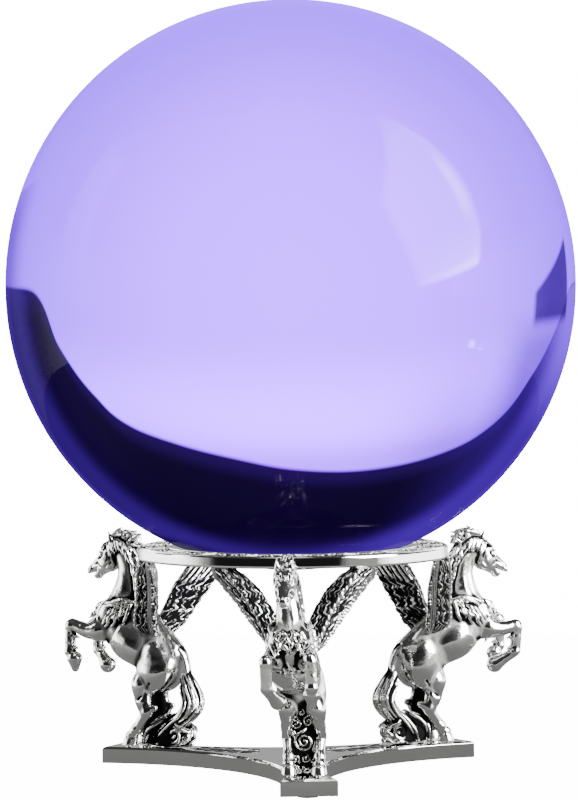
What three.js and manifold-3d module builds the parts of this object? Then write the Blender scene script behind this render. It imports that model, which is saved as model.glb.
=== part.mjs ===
// Glass ball on a cast metal stand.
// Three identical rearing winged horses stand on a three-armed concave plate
// and carry a flat ring on their wings; the loose solid glass ball rests in the
// ring's conical seat.  Millimetres, +Z up, origin on the axis at the underside
// of the foot pads.  The front arm points to -Y.
import * as THREE from 'three';
import { mergeVertices } from 'three/addons/utils/BufferGeometryUtils.js';
import Module from 'manifold-3d';

const wasm = await Module();
wasm.setup();

// ---------------------------------------------------------------- dimensions
const BALL_R = 75.0;            // 150 mm solid glass ball
const PAD_PROUD = 0.5;          // how far the felt pads stand below the plate
const PLATE_T = 4.4;            // plate thickness
const PLATE_ARM_R = 53.8;       // axis to the flat end of each arm
const PLATE_ARC_R = 59.5;       // radius of the three hollow sides
const PLATE_ARC_C = 74.5;       // axis to the centre of each hollow side
const PLATE_BEVEL = 0.35;
const RING_OUT = 41.0;
const RING_IN = 29.0;
const RING_BOT = 56.4;          // above the plate's underside
const RING_TOP = 59.5;
const SEAT_OUT = 31.0;          // the conical seat runs from RING_IN to SEAT_OUT
const SEAT_DROP = 0.86;
const BALL_CZ = 128.15;         // ball centre above the plate's underside
const GAP = 0.3;                // clearance between touching pieces

const HORSE_YAW = -8;           // each casting is turned about its own pivot
const HORSE_PIVOT = 42.0;
const HORSE_LEAN = -2.3;        // and leans sideways
const HORSE_SHIFT = -1.2;
// how far each wing's tip is set from the common casting when it is fitted under
// the ring: [out along the arm, away from the horse's middle]
const WING_SET = {
  front: { left: [-1.2, 0], right: [0, 0] },
  left: { left: [-3.0, -0.3], right: [0, 0] },
  right: { left: [0, -3.0], right: [0, 0] },
};

const HOOF_R = 47.2;            // hind hoof centre, outward from the axis
const HOOF_Y = 3.7;             // and sideways of the casting's own middle
const HIND_OFFSET = 1.2;        // the hind legs stand to the horse's left
const HOOF_PIN_R = 0.8;         // dowel pins from the plate up into the hooves
const HOOF_PIN_LEN = 5.0;
const SCREW_R = 1.5;            // M3 x 6 screw from below into the tail's foot
const SCREW_HEAD_R = 2.75;
const SCREW_HEAD_H = 2.0;
const SCREW_LEN = 8.0;          // over all
const SCREW_POS = 38.2;
const PAD_R = 2.6;              // felt pads
const PAD_T = 1.5;
const PAD_POS = 50.2;
const PIN_R = 0.6;              // wing-to-ring dowel pins
const PIN_LEN = 4.0;

// ------------------------------------------------------------------- helpers
const deg = Math.PI / 180;

function toSolid(geo) {
  const g = geo.index ? geo.toNonIndexed() : geo.clone();
  for (const k of Object.keys(g.attributes)) if (k !== 'position') g.deleteAttribute(k);
  const m = mergeVertices(g, 1e-4);
  const pos = m.attributes.position.array;
  const src = m.index.array;
  const tri = [];
  for (let i = 0; i < src.length; i += 3) {
    const [a, b, c] = [src[i], src[i + 1], src[i + 2]];
    if (a !== b && b !== c && a !== c) tri.push(a, b, c);
  }
  let vol = 0;
  for (let i = 0; i < tri.length; i += 3) {
    const [a, b, c] = [tri[i] * 3, tri[i + 1] * 3, tri[i + 2] * 3];
    vol += pos[a] * (pos[b + 1] * pos[c + 2] - pos[b + 2] * pos[c + 1])
         - pos[a + 1] * (pos[b] * pos[c + 2] - pos[b + 2] * pos[c])
         + pos[a + 2] * (pos[b] * pos[c + 1] - pos[b + 1] * pos[c]);
  }
  if (vol < 0) for (let i = 0; i < tri.length; i += 3) [tri[i + 1], tri[i + 2]] = [tri[i + 2], tri[i + 1]];
  return new wasm.Manifold(new wasm.Mesh({
    numProp: 3, vertProperties: new Float32Array(pos), triVerts: new Uint32Array(tri) }));
}

function toGeometry(solid) {
  const m = solid.getMesh();
  const g = new THREE.BufferGeometry();
  g.setAttribute('position', new THREE.BufferAttribute(Float32Array.from(m.vertProperties), 3));
  g.setIndex(new THREE.BufferAttribute(Uint32Array.from(m.triVerts), 1));
  g.computeVertexNormals();
  return g;
}

const union = (list) => list.reduce((a, b) => a.add(b));

// A rod with round ends from a (radius ra) to b (radius rb).
function limb(a, ra, b, rb, sides = Math.max(ra, rb) < 3 ? 6 : 8) {
  const A = new THREE.Vector3(...a), B = new THREE.Vector3(...b);
  const L = Math.max(A.distanceTo(B), 1e-3);
  const pts = [[0, -ra], [ra * 0.95, -ra * 0.32], [rb * 0.95, L + rb * 0.32], [0, L + rb]];
  const g = new THREE.LatheGeometry(pts.map(([x, y]) => new THREE.Vector2(x, y)), sides);
  const d = B.clone().sub(A).normalize();
  g.applyQuaternion(new THREE.Quaternion().setFromUnitVectors(new THREE.Vector3(0, 1, 0), d));
  g.translate(A.x, A.y, A.z);
  return toSolid(g);
}

// A straight round bar along Z.
function bar(x, y, z0, z1, r0, r1 = r0, sides = 16) {
  const g = new THREE.CylinderGeometry(r1, r0, z1 - z0, sides);
  g.rotateX(Math.PI / 2);
  g.translate(x, y, (z0 + z1) / 2);
  return toSolid(g);
}

function block(x0, x1, y0, y1, z0, z1) {
  const g = new THREE.BoxGeometry(x1 - x0, y1 - y0, z1 - z0);
  g.translate((x0 + x1) / 2, (y0 + y1) / 2, (z0 + z1) / 2);
  return toSolid(g);
}

// A closed skin through a stack of sections, each a list of [x, y, z].
function skin(sections) {
  const n = sections[0].length, pos = [], idx = [];
  sections.forEach((s) => s.forEach((p) => pos.push(...p)));
  for (let k = 0; k + 1 < sections.length; k++)
    for (let i = 0; i < n; i++) {
      const a = k * n + i, b = k * n + (i + 1) % n, c = a + n, d = b + n;
      idx.push(a, b, d, a, d, c);
    }
  for (const [k, flip] of [[0, true], [sections.length - 1, false]]) {
    const o = k * n, c = pos.length / 3;
    const m = [0, 1, 2].map((j) => sections[k].reduce((t, p) => t + p[j], 0) / n);
    pos.push(...m);
    for (let i = 0; i < n; i++) {
      const a = o + i, b = o + (i + 1) % n;
      flip ? idx.push(b, a, c) : idx.push(a, b, c);
    }
  }
  const g = new THREE.BufferGeometry();
  g.setAttribute('position', new THREE.Float32BufferAttribute(pos, 3));
  g.setIndex(idx);
  return toSolid(g);
}

// ------------------------------------------------------- one horse casting
// Coordinates: x = outward from the axis, y = the horse's left, z above the
// plate's underside.  Each entry: point, radius, point, radius.
const BODY = [
  // hindquarters and trunk
  [[36.6, 0, 25.4], 5.2, [38.6, 0, 30.2], 5.0],
  [[40.2, 0, 26.6], 6.2, [48.2, 0, 33.4], 6.9],
  [[38.6, 0, 30.6], 4.4, [47.0, 0, 38.2], 5.0],
  [[48.2, 0, 33.0], 6.6, [56.0, 0, 37.2], 5.9],
  // neck and mane
  [[53.4, 0, 41.0], 5.2, [51.5, -0.3, 49.0], 3.7],
  [[51.5, -0.3, 49.0], 3.7, [54.6, -0.6, 57.2], 3.4],
  [[50.6, -0.5, 58.0], 2.4, [54.6, -0.6, 60.3], 2.1],
  // head
  [[56.6, -0.6, 56.4], 3.1, [59.4, -0.6, 54.6], 2.6],
  [[59.4, -0.6, 54.8], 2.4, [64.4, -0.8, 50.9], 1.5],
  [[59.6, -0.6, 53.0], 1.8, [62.0, -0.8, 49.8], 1.3],
  // ears
  [[57.0, 1.0, 59.0], 0.9, [58.6, 1.5, 61.6], 0.4],
  [[57.0, -2.2, 59.0], 0.9, [58.6, -2.7, 61.6], 0.4],
  // left foreleg
  [[55.6, 3.4, 36.6], 3.9, [60.8, 5.0, 35.0], 2.8],
  [[60.8, 5.0, 35.0], 2.7, [66.6, 5.5, 36.0], 1.9],
  [[67.0, 5.5, 35.8], 1.8, [67.0, 5.5, 29.0], 1.4],
  [[67.0, 5.5, 29.0], 1.5, [65.4, 5.4, 26.2], 2.1],
  // right foreleg
  [[55.6, -3.4, 36.6], 3.9, [60.8, -5.0, 35.0], 2.8],
  [[60.8, -5.0, 35.0], 2.7, [66.2, -5.6, 35.6], 1.9],
  [[66.5, -5.6, 35.4], 1.8, [65.7, -5.8, 28.2], 1.4],
  [[65.7, -5.8, 28.2], 1.5, [61.2, -3.4, 25.0], 2.2],
];
const HIND = [ // y is counted from HIND_OFFSET, its sign applied per side
  [[39.4, 2.4, 25.6], 4.6, [42.9, 3.2, 20.6], 3.3],
  [[42.9, 3.2, 20.6], 3.2, [40.9, 3.4, 14.2], 2.0],
  [[40.9, 3.4, 14.2], 1.9, [44.2, 3.6, 9.6], 1.6],
  [[44.2, 3.6, 9.6], 1.6, [46.3, 3.7, 7.0], 1.6],
];
const TAIL = [
  [[34.4, 0.4, 22.4], 1.9, [30.2, 0.4, 20.0], 2.6],
  [[30.2, 0.4, 20.0], 2.6, [29.4, 0.4, 16.6], 2.9],
  [[29.4, 0.4, 16.6], 2.8, [33.8, 0.4, 11.6], 2.2],
  [[33.8, 0.4, 11.6], 2.2, [38.2, 0.4, 7.6], 3.2],
  [[33.2, 0.4, 10.2], 2.2, [31.2, 0.4, 7.9], 2.5],
];
// wing sections: inner, front, outer, hollow of the back face
const WING = [
  [33.6, [42.6, 0.5], [43.2, 2.0], [40.2, 2.9], [41.0, 1.4]],
  [37.0, [41.9, 1.2], [43.4, 4.6], [38.4, 7.0], [39.9, 3.6]],
  [42.5, [41.0, 3.4], [43.2, 7.2], [36.6, 11.2], [38.6, 6.8]],
  [47.0, [39.8, 5.8], [42.8, 10.0], [34.8, 14.6], [37.1, 9.8]],
  [51.6, [38.2, 9.0], [41.4, 13.4], [33.1, 18.8], [35.9, 13.4]],
  [54.0, [37.4, 11.8], [40.2, 15.4], [32.6, 20.8], [35.4, 15.6]],
  [56.1, [36.2, 14.6], [38.5, 17.0], [32.8, 21.4], [33.8, 17.0]],
];

function bones(list, grow, side = 1, off = 0) {
  return list.map(([a, ra, b, rb]) => limb(
    [a[0], off + a[1] * side, a[2]], ra + grow, [b[0], off + b[1] * side, b[2]], rb + grow));
}
const hoof = (side, grow) => {
  const h = bar(0, 0, 0, 3.0, 2.35 + grow, 1.95 + grow, 12).scale([1, 0.82, 1]);
  return h.translate([HOOF_R, HIND_OFFSET + HOOF_Y * side, PLATE_T + GAP]);
};

function bodySolid(grow = 0) {
  return union([...bones(BODY, grow), ...bones(HIND, grow, 1, HIND_OFFSET),
                ...bones(HIND, grow, -1, HIND_OFFSET), hoof(1, grow), hoof(-1, grow)]);
}
const bodyFull = bodySolid();
const bodyGrown = bodySolid(GAP);
const underPlate = block(15, 80, -20, 20, -5, PLATE_T + GAP);
const hornBody = bodyFull.subtract(underPlate);
const tailSolid = union(bones(TAIL, 0)).subtract(bodyGrown).subtract(underPlate);

// share of the tip's set that a wing has at height z: none at the root, all at the tip
const setShare = (z) => (z - WING[0][0]) / (WING[WING.length - 1][0] - WING[0][0]);
function wingSolid(side, [dx, dy]) {
  const secs = WING.map(([z, ...pts]) => pts.map(([x, y]) =>
    [x + dx * setShare(z), (y + dy * setShare(z)) * side, z]));
  return skin(secs).subtract(bodyGrown);
}

// keep only the largest connected solid of a cut piece
function mainPart(solid) {
  const parts = solid.decompose();
  return parts.reduce((a, b) => (Math.abs(a.volume()) > Math.abs(b.volume()) ? a : b));
}

// The place of a casting on an arm: turn, lean, shift, then swing to the arm.
function place(armDeg) {
  const m = new THREE.Matrix4().makeTranslation(-HORSE_PIVOT, 0, 0);
  m.premultiply(new THREE.Matrix4().makeRotationZ(HORSE_YAW * deg));
  m.premultiply(new THREE.Matrix4().makeTranslation(HORSE_PIVOT, 0, -PLATE_T));
  m.premultiply(new THREE.Matrix4().makeShear(0, 0, 0, 0, 0, Math.tan(HORSE_LEAN * deg)));
  m.premultiply(new THREE.Matrix4().makeTranslation(0, HORSE_SHIFT, PLATE_T + PAD_PROUD));
  m.premultiply(new THREE.Matrix4().makeRotationZ(armDeg * deg));
  return m;
}
function moved(solid, matrix) {
  const g = toGeometry(solid);
  g.applyMatrix4(matrix);
  return toSolid(g);
}

// ------------------------------------------------------------------ the ring
function ringSolid() {
  const p = [[RING_IN, RING_BOT], [RING_OUT - 0.3, RING_BOT], [RING_OUT, RING_BOT + 0.3],
             [RING_OUT, RING_TOP - 0.3], [RING_OUT - 0.3, RING_TOP], [SEAT_OUT, RING_TOP],
             [RING_IN, RING_TOP - SEAT_DROP], [RING_IN, RING_BOT]];
  const g = new THREE.LatheGeometry(p.map(([x, y]) => new THREE.Vector2(x, y)), 72);
  g.rotateX(Math.PI / 2);
  g.translate(0, 0, PAD_PROUD);
  return toSolid(g);
}

// ----------------------------------------------------------------- the plate
function plateSolid() {
  const sh = new THREE.Shape();
  const b = PLATE_BEVEL;
  const R = PLATE_ARC_R + b;                 // the bevel grows the outline again
  const armR = PLATE_ARM_R - b;
  // where a hollow side meets the flat end of an arm, in the frame of the side
  const uArm = new THREE.Vector2(Math.cos(60 * deg), Math.sin(60 * deg));
  const n = new THREE.Vector2(-uArm.y, uArm.x);
  // point on the arm's end: armR * uArm - t * n, at distance R from (PLATE_ARC_C, 0)
  let t = 0;
  for (let i = 0; i < 40; i++) {
    const px = armR * uArm.x - t * n.x, py = armR * uArm.y - t * n.y;
    const d = Math.hypot(px - PLATE_ARC_C, py) - R;
    t += (d > 0 ? 1 : -1) * Math.abs(d) * 0.8;
  }
  const half = Math.atan2(armR * uArm.y - t * n.y, PLATE_ARC_C - (armR * uArm.x - t * n.x));
  const pts = [];
  for (const side of [330, 90, 210]) {
    const N = 14;
    for (let i = 0; i <= N; i++) {
      const a = -half + (2 * half * i) / N;
      const x = PLATE_ARC_C - R * Math.cos(a), y = R * Math.sin(a);
      const c = Math.cos(side * deg), s = Math.sin(side * deg);
      pts.push(new THREE.Vector2(x * c - y * s, x * s + y * c));
    }
  }
  sh.setFromPoints(pts);
  const g = new THREE.ExtrudeGeometry(sh, {
    depth: PLATE_T - 2 * b, bevelEnabled: true, bevelThickness: b, bevelSize: b,
    bevelSegments: 1, curveSegments: 1 });
  g.translate(0, 0, b + PAD_PROUD);
  return toSolid(g);
}

// ------------------------------------------------------------------ assembly
const MAT = {
  glass: new THREE.MeshStandardMaterial({ color: 0x8a7cf0, roughness: 0.03, metalness: 0 }),
  chrome: new THREE.MeshStandardMaterial({ color: 0xb9b9b4, roughness: 0.12, metalness: 1 }),
  antique: new THREE.MeshStandardMaterial({ color: 0x8f8f8a, roughness: 0.2, metalness: 1 }),
  steel: new THREE.MeshStandardMaterial({ color: 0x9a9a98, roughness: 0.35, metalness: 1 }),
  felt: new THREE.MeshStandardMaterial({ color: 0x1c1c1e, roughness: 0.95, metalness: 0 }),
};
const group = new THREE.Group();
function add(name, solid, mat) {
  const m = new THREE.Mesh(toGeometry(solid), mat);
  m.name = name;
  group.add(m);
}

// the ball
{
  const g = new THREE.SphereGeometry(BALL_R, 36, 22);
  g.rotateX(Math.PI / 2);
  const m = new THREE.Mesh(toGeometry(toSolid(g)), MAT.glass);
  m.name = 'crystal_ball';
  m.position.set(0, 0, BALL_CZ + PAD_PROUD);
  group.add(m);
}

let plate = plateSolid();
let ring = ringSolid();
const ARMS = [['front', 270], ['right', 30], ['left', 150]];

for (const [armName, armDeg] of ARMS) {
  const M = place(armDeg);
  let body = moved(hornBody, M);

  // dowel pins from the plate up into the hind hooves
  for (const [sideName, side] of [['left', 1], ['right', -1]]) {
    const foot = new THREE.Vector3(HOOF_R, HIND_OFFSET + HOOF_Y * side, PLATE_T).applyMatrix4(M);
    const z0 = PAD_PROUD + 0.5, z1 = z0 + HOOF_PIN_LEN;
    plate = plate.subtract(bar(foot.x, foot.y, PAD_PROUD - 1, z1 + 1,
                               HOOF_PIN_R + GAP, HOOF_PIN_R + GAP, 10));
    body = body.subtract(bar(foot.x, foot.y, PAD_PROUD, z1 + GAP,
                             HOOF_PIN_R + GAP, HOOF_PIN_R + GAP, 10));
    add(`hoof_pin_${armName}_${sideName}`,
        bar(foot.x, foot.y, z0, z1, HOOF_PIN_R, HOOF_PIN_R, 10), MAT.steel);
  }
  add(`pegasus_${armName}_body`, mainPart(body), MAT.chrome);

  // the screw from below into the foot of the tail, its head in a counterbore
  {
    const foot = new THREE.Vector3(SCREW_POS, 0.4, PLATE_T).applyMatrix4(M);
    const z0 = PAD_PROUD + 0.2, z1 = z0 + SCREW_HEAD_H, z2 = z0 + SCREW_LEN;
    const screw = bar(foot.x, foot.y, z0, z1, SCREW_HEAD_R, SCREW_HEAD_R, 16)
      .add(bar(foot.x, foot.y, z1 - 0.2, z2, SCREW_R, SCREW_R, 12))
      .subtract(block(foot.x - 5, foot.x + 5, foot.y - 0.4, foot.y + 0.4, z0 - 1, z0 + 0.9));
    plate = plate
      .subtract(bar(foot.x, foot.y, PAD_PROUD - 1, z1 + GAP, SCREW_HEAD_R + GAP, SCREW_HEAD_R + GAP, 16))
      .subtract(bar(foot.x, foot.y, PAD_PROUD, PAD_PROUD + PLATE_T + 1, SCREW_R + GAP, SCREW_R + GAP, 12));
    const tail = moved(tailSolid, M).subtract(
      bar(foot.x, foot.y, PAD_PROUD, z2 + GAP, SCREW_R + GAP, SCREW_R + GAP, 12));
    add(`pegasus_${armName}_tail`, mainPart(tail), MAT.antique);
    add(`tail_screw_${armName}`, screw, MAT.steel);
  }

  for (const [sideName, side] of [['left', 1], ['right', -1]]) {
    const set = WING_SET[armName][sideName];
    let wing = moved(mainPart(wingSolid(side, set)), M);
    // dowel pin from the wing tip up into a blind hole of the ring
    const tip = new THREE.Vector3(35.4 + set[0], (17.3 + set[1]) * side, 56.0).applyMatrix4(M);
    const top = RING_TOP + PAD_PROUD - 1.0;
    const pin = bar(tip.x, tip.y, top - PIN_LEN, top - GAP, PIN_R, PIN_R, 8);
    const hole = bar(tip.x, tip.y, top - PIN_LEN - GAP, top, PIN_R + GAP, PIN_R + GAP, 8);
    wing = wing.subtract(hole);
    ring = ring.subtract(hole);
    add(`pegasus_${armName}_wing_${sideName}`, mainPart(wing), MAT.antique);
    add(`wing_pin_${armName}_${sideName}`, pin, MAT.steel);
  }

  // felt pad in a shallow pocket under the arm
  const a = armDeg * deg, px = PAD_POS * Math.cos(a), py = PAD_POS * Math.sin(a);
  plate = plate.subtract(bar(px, py, PAD_PROUD - 1, PAD_T + 0.05, PAD_R + GAP, PAD_R + GAP, 16));
  add(`foot_pad_${armName}`, bar(px, py, 0, PAD_T - GAP, PAD_R, PAD_R, 16), MAT.felt);
}
add('base_plate', plate, MAT.chrome);
add('support_ring', ring, MAT.chrome);

export default group;
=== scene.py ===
import math

import bpy
import numpy as np
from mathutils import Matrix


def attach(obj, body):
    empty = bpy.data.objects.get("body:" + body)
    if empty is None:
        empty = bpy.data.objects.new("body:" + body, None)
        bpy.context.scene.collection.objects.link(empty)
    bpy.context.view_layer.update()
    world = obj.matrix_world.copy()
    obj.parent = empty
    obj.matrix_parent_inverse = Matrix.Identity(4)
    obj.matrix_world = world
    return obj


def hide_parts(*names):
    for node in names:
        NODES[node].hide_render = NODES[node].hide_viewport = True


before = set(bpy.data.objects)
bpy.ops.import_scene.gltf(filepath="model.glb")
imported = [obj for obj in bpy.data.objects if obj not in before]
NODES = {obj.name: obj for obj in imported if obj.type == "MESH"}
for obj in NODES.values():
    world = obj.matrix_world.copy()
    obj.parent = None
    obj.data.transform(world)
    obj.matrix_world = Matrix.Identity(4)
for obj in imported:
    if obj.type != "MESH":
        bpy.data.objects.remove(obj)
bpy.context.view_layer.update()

# The row frame: metres, +Z up. Sizes below are in millimetres and in the stand's own frame; make() scales them by MM.
MM = 0.001
BALL_R, BALL_Z = 75.0, 128.65
PLATE_TOP, PAD = 4.9, 0.5
ARMS = {"front": 270.0, "right": 30.0, "left": 150.0}
YAW, PIVOT, LEAN, SHIFT = math.radians(-8), 42.0, math.tan(math.radians(-2.3)), -1.2


def place(p, arm):
    """Points of a horse's own frame (x out along the arm, y to its left, z up) in the row frame, mm."""
    p = np.array(p, float)
    x, y, z = p[:, 0] - PIVOT, p[:, 1], p[:, 2]
    x1 = PIVOT + x * math.cos(YAW) - y * math.sin(YAW)
    y1 = x * math.sin(YAW) + y * math.cos(YAW) + LEAN * (z - 4.4) + SHIFT
    a = math.radians(arm)
    return np.stack([x1 * math.cos(a) - y1 * math.sin(a), x1 * math.sin(a) + y1 * math.cos(a), z + PAD], 1)


def make(name, points, faces, material, smooth=True, **layers):
    """An object from points in mm and faces given as index rows (one array, or a list of rows)."""
    me = bpy.data.meshes.new(name)
    if isinstance(faces, np.ndarray):
        n, k = faces.shape
        me.vertices.add(len(points)); me.loops.add(n * k); me.polygons.add(n)
        me.vertices.foreach_set("co", (np.asarray(points) * MM).astype(np.float32).ravel())
        me.loops.foreach_set("vertex_index", faces.astype(np.int32).ravel())
        me.polygons.foreach_set("loop_start", np.arange(0, n * k, k, dtype=np.int32))
        me.polygons.foreach_set("loop_total", np.full(n, k, np.int32))
        me.update(calc_edges=True)
    else:
        me.from_pydata([tuple(p) for p in np.asarray(points) * MM], [], [tuple(int(i) for i in f) for f in faces])
    me.polygons.foreach_set("use_smooth", np.full(len(me.polygons), smooth))
    for key, v in layers.items():
        a = me.attributes.new(key, "FLOAT", "POINT")
        a.data.foreach_set("value", np.asarray(v, np.float32))
    me.materials.append(material)
    me.update()
    ob = bpy.data.objects.new(name, me)
    bpy.context.scene.collection.objects.link(ob)
    return ob

# ------------------------------------------------------------ distance fields
class Field:
    """A signed distance grid that pieces are modelled in: negative inside."""

    def __init__(self, lo, hi, h):
        self.lo = np.array(lo, float)
        self.h = h
        self.n = np.ceil((np.array(hi, float) - self.lo) / h).astype(int) + 1
        self.d = np.full(self.n, 6.0, np.float32)
        self.ax = [(self.lo[i] + h * np.arange(self.n[i])).astype(np.float32) for i in range(3)]

    def part(self, lo, hi):
        i0 = np.maximum(np.floor((np.array(lo) - self.lo) / self.h).astype(int), 0)
        i1 = np.minimum(np.ceil((np.array(hi) - self.lo) / self.h).astype(int) + 1, self.n)
        if (i1 <= i0).any():
            return None
        sl = tuple(slice(a, b) for a, b in zip(i0, i1))
        return sl, self.ax[0][sl[0]][:, None, None], self.ax[1][sl[1]][None, :, None], self.ax[2][sl[2]][None, None, :]

    def merge(self, sl, d, k, op):
        a = self.d[sl]
        if op == "cut":
            if k > 0:
                h = np.clip(0.5 - 0.5 * (a + d) / k, 0, 1)
                self.d[sl] = a + (-d - a) * h + k * h * (1 - h)
            else:
                self.d[sl] = np.maximum(a, -d)
        else:
            if k > 0:
                h = np.clip(0.5 + 0.5 * (a - d) / k, 0, 1)
                self.d[sl] = a + (d - a) * h - k * h * (1 - h)
            else:
                self.d[sl] = np.minimum(a, d)

    def bone(self, a, ra, b, rb, k=0.8, op="add", fy=1.0):
        """A tapered rod with round ends. fy over 1 makes it narrower sideways."""
        a = np.array(a, float); b = np.array(b, float)
        m = max(ra, rb) * max(1.0, 1 / fy) + k + 2.5 * self.h + 0.4
        got = self.part(np.minimum(a, b) - m, np.maximum(a, b) + m)
        if got is None:
            return
        sl, X, Y, Z = got
        ab = b - a
        L = max(float(ab @ ab), 1e-9)
        px, py, pz = X - a[0], Y - a[1], Z - a[2]
        t = np.clip((px * ab[0] + py * ab[1] + pz * ab[2]) / L, 0, 1)
        qx, qy, qz = px - t * ab[0], (py - t * ab[1]) * fy, pz - t * ab[2]
        d = np.sqrt(qx * qx + qy * qy + qz * qz) - (ra + (rb - ra) * t)
        self.merge(sl, d.astype(np.float32), k, op)

    def chain(self, pts, k=0.5, op="add", fy=1.0):
        """Rods through a list of (x, y, z, radius), joined to each other without swelling and to the rest by k."""
        if k >= 0.5 and 2 < len(pts) < 7:
            pts = curve(pts, 5 * len(pts))
        pts = np.array(pts, float)
        m = pts[:, 3].max() * max(1.0, 1 / fy) + k + 2.5 * self.h + 0.4
        got = self.part(pts[:, :3].min(0) - m, pts[:, :3].max(0) + m)
        if got is None:
            return
        sl, X, Y, Z = got
        whole = Field([0, 0, 0], [0, 0, 0], self.h)
        whole.lo, whole.n = np.array([self.ax[i][sl[i].start] for i in range(3)], float), np.array([q.stop - q.start for q in sl])
        whole.d = np.full(whole.n, 6.0, np.float32)
        whole.ax = [self.ax[i][sl[i]] for i in range(3)]
        for p, q in zip(pts, pts[1:]):
            whole.bone(p[:3], p[3], q[:3], q[3], 0.0, "add", fy)
        self.merge(sl, whole.d, k, op)

    def egg(self, c, r, k=0.8, op="add", tilt=0.0, swing=0.0):
        """An ellipsoid, tilted in the x-z plane, then swung about z, in degrees."""
        c = np.array(c, float); r = np.array(r, float)
        m = r.max() + k + 2.5 * self.h + 0.4
        got = self.part(c - m, c + m)
        if got is None:
            return
        sl, X, Y, Z = got
        X, Y, Z = X - c[0], Y - c[1], Z - c[2]
        if swing:
            s, co = math.sin(math.radians(swing)), math.cos(math.radians(swing))
            X, Y = X * co + Y * s, -X * s + Y * co
        if tilt:
            s, co = math.sin(math.radians(tilt)), math.cos(math.radians(tilt))
            X, Z = X * co + Z * s, -X * s + Z * co
        k0 = np.sqrt((X / r[0]) ** 2 + (Y / r[1]) ** 2 + (Z / r[2]) ** 2)
        k1 = np.sqrt((X / r[0] ** 2) ** 2 + (Y / r[1] ** 2) ** 2 + (Z / r[2] ** 2) ** 2) + 1e-6
        self.merge(sl, (k0 * (k0 - 1) / k1).astype(np.float32), k, op)

    def slab(self, point, normal, lo, hi, k=0.0):
        """Cuts away everything on the normal's side of a plane, inside the box lo to hi."""
        got = self.part(lo, hi)
        if got is None:
            return
        sl, X, Y, Z = got
        n = np.array(normal, float); n /= np.linalg.norm(n)
        d = -((X - point[0]) * n[0] + (Y - point[1]) * n[1] + (Z - point[2]) * n[2])
        self.merge(sl, np.broadcast_to(d, self.d[sl].shape).astype(np.float32), k, "cut")


def blur(v, r, passes=2):
    """A box blur of radius r cells, repeated, on every axis."""
    for _ in range(passes):
        for ax in range(3):
            p = np.pad(v, [(r + 1, r) if i == ax else (0, 0) for i in range(3)], mode="edge")
            c = np.cumsum(p, axis=ax, dtype=np.float64)
            n = v.shape[ax]
            hi = np.take(c, np.arange(2 * r + 1, 2 * r + 1 + n), axis=ax)
            lo = np.take(c, np.arange(0, n), axis=ax)
            v = ((hi - lo) / (2 * r + 1)).astype(np.float32)
    return v


def sample(v, lo, h, p):
    """Trilinear values of a grid at points p."""
    g = (p - lo) / h
    i = np.clip(np.floor(g).astype(int), 0, np.array(v.shape) - 2)
    f = np.clip(g - i, 0, 1)
    out = np.zeros(len(p))
    for dx in (0, 1):
        for dy in (0, 1):
            for dz in (0, 1):
                w = (f[:, 0] if dx else 1 - f[:, 0]) * (f[:, 1] if dy else 1 - f[:, 1]) * (f[:, 2] if dz else 1 - f[:, 2])
                out += w * v[i[:, 0] + dx, i[:, 1] + dy, i[:, 2] + dz]
    return out


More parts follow.
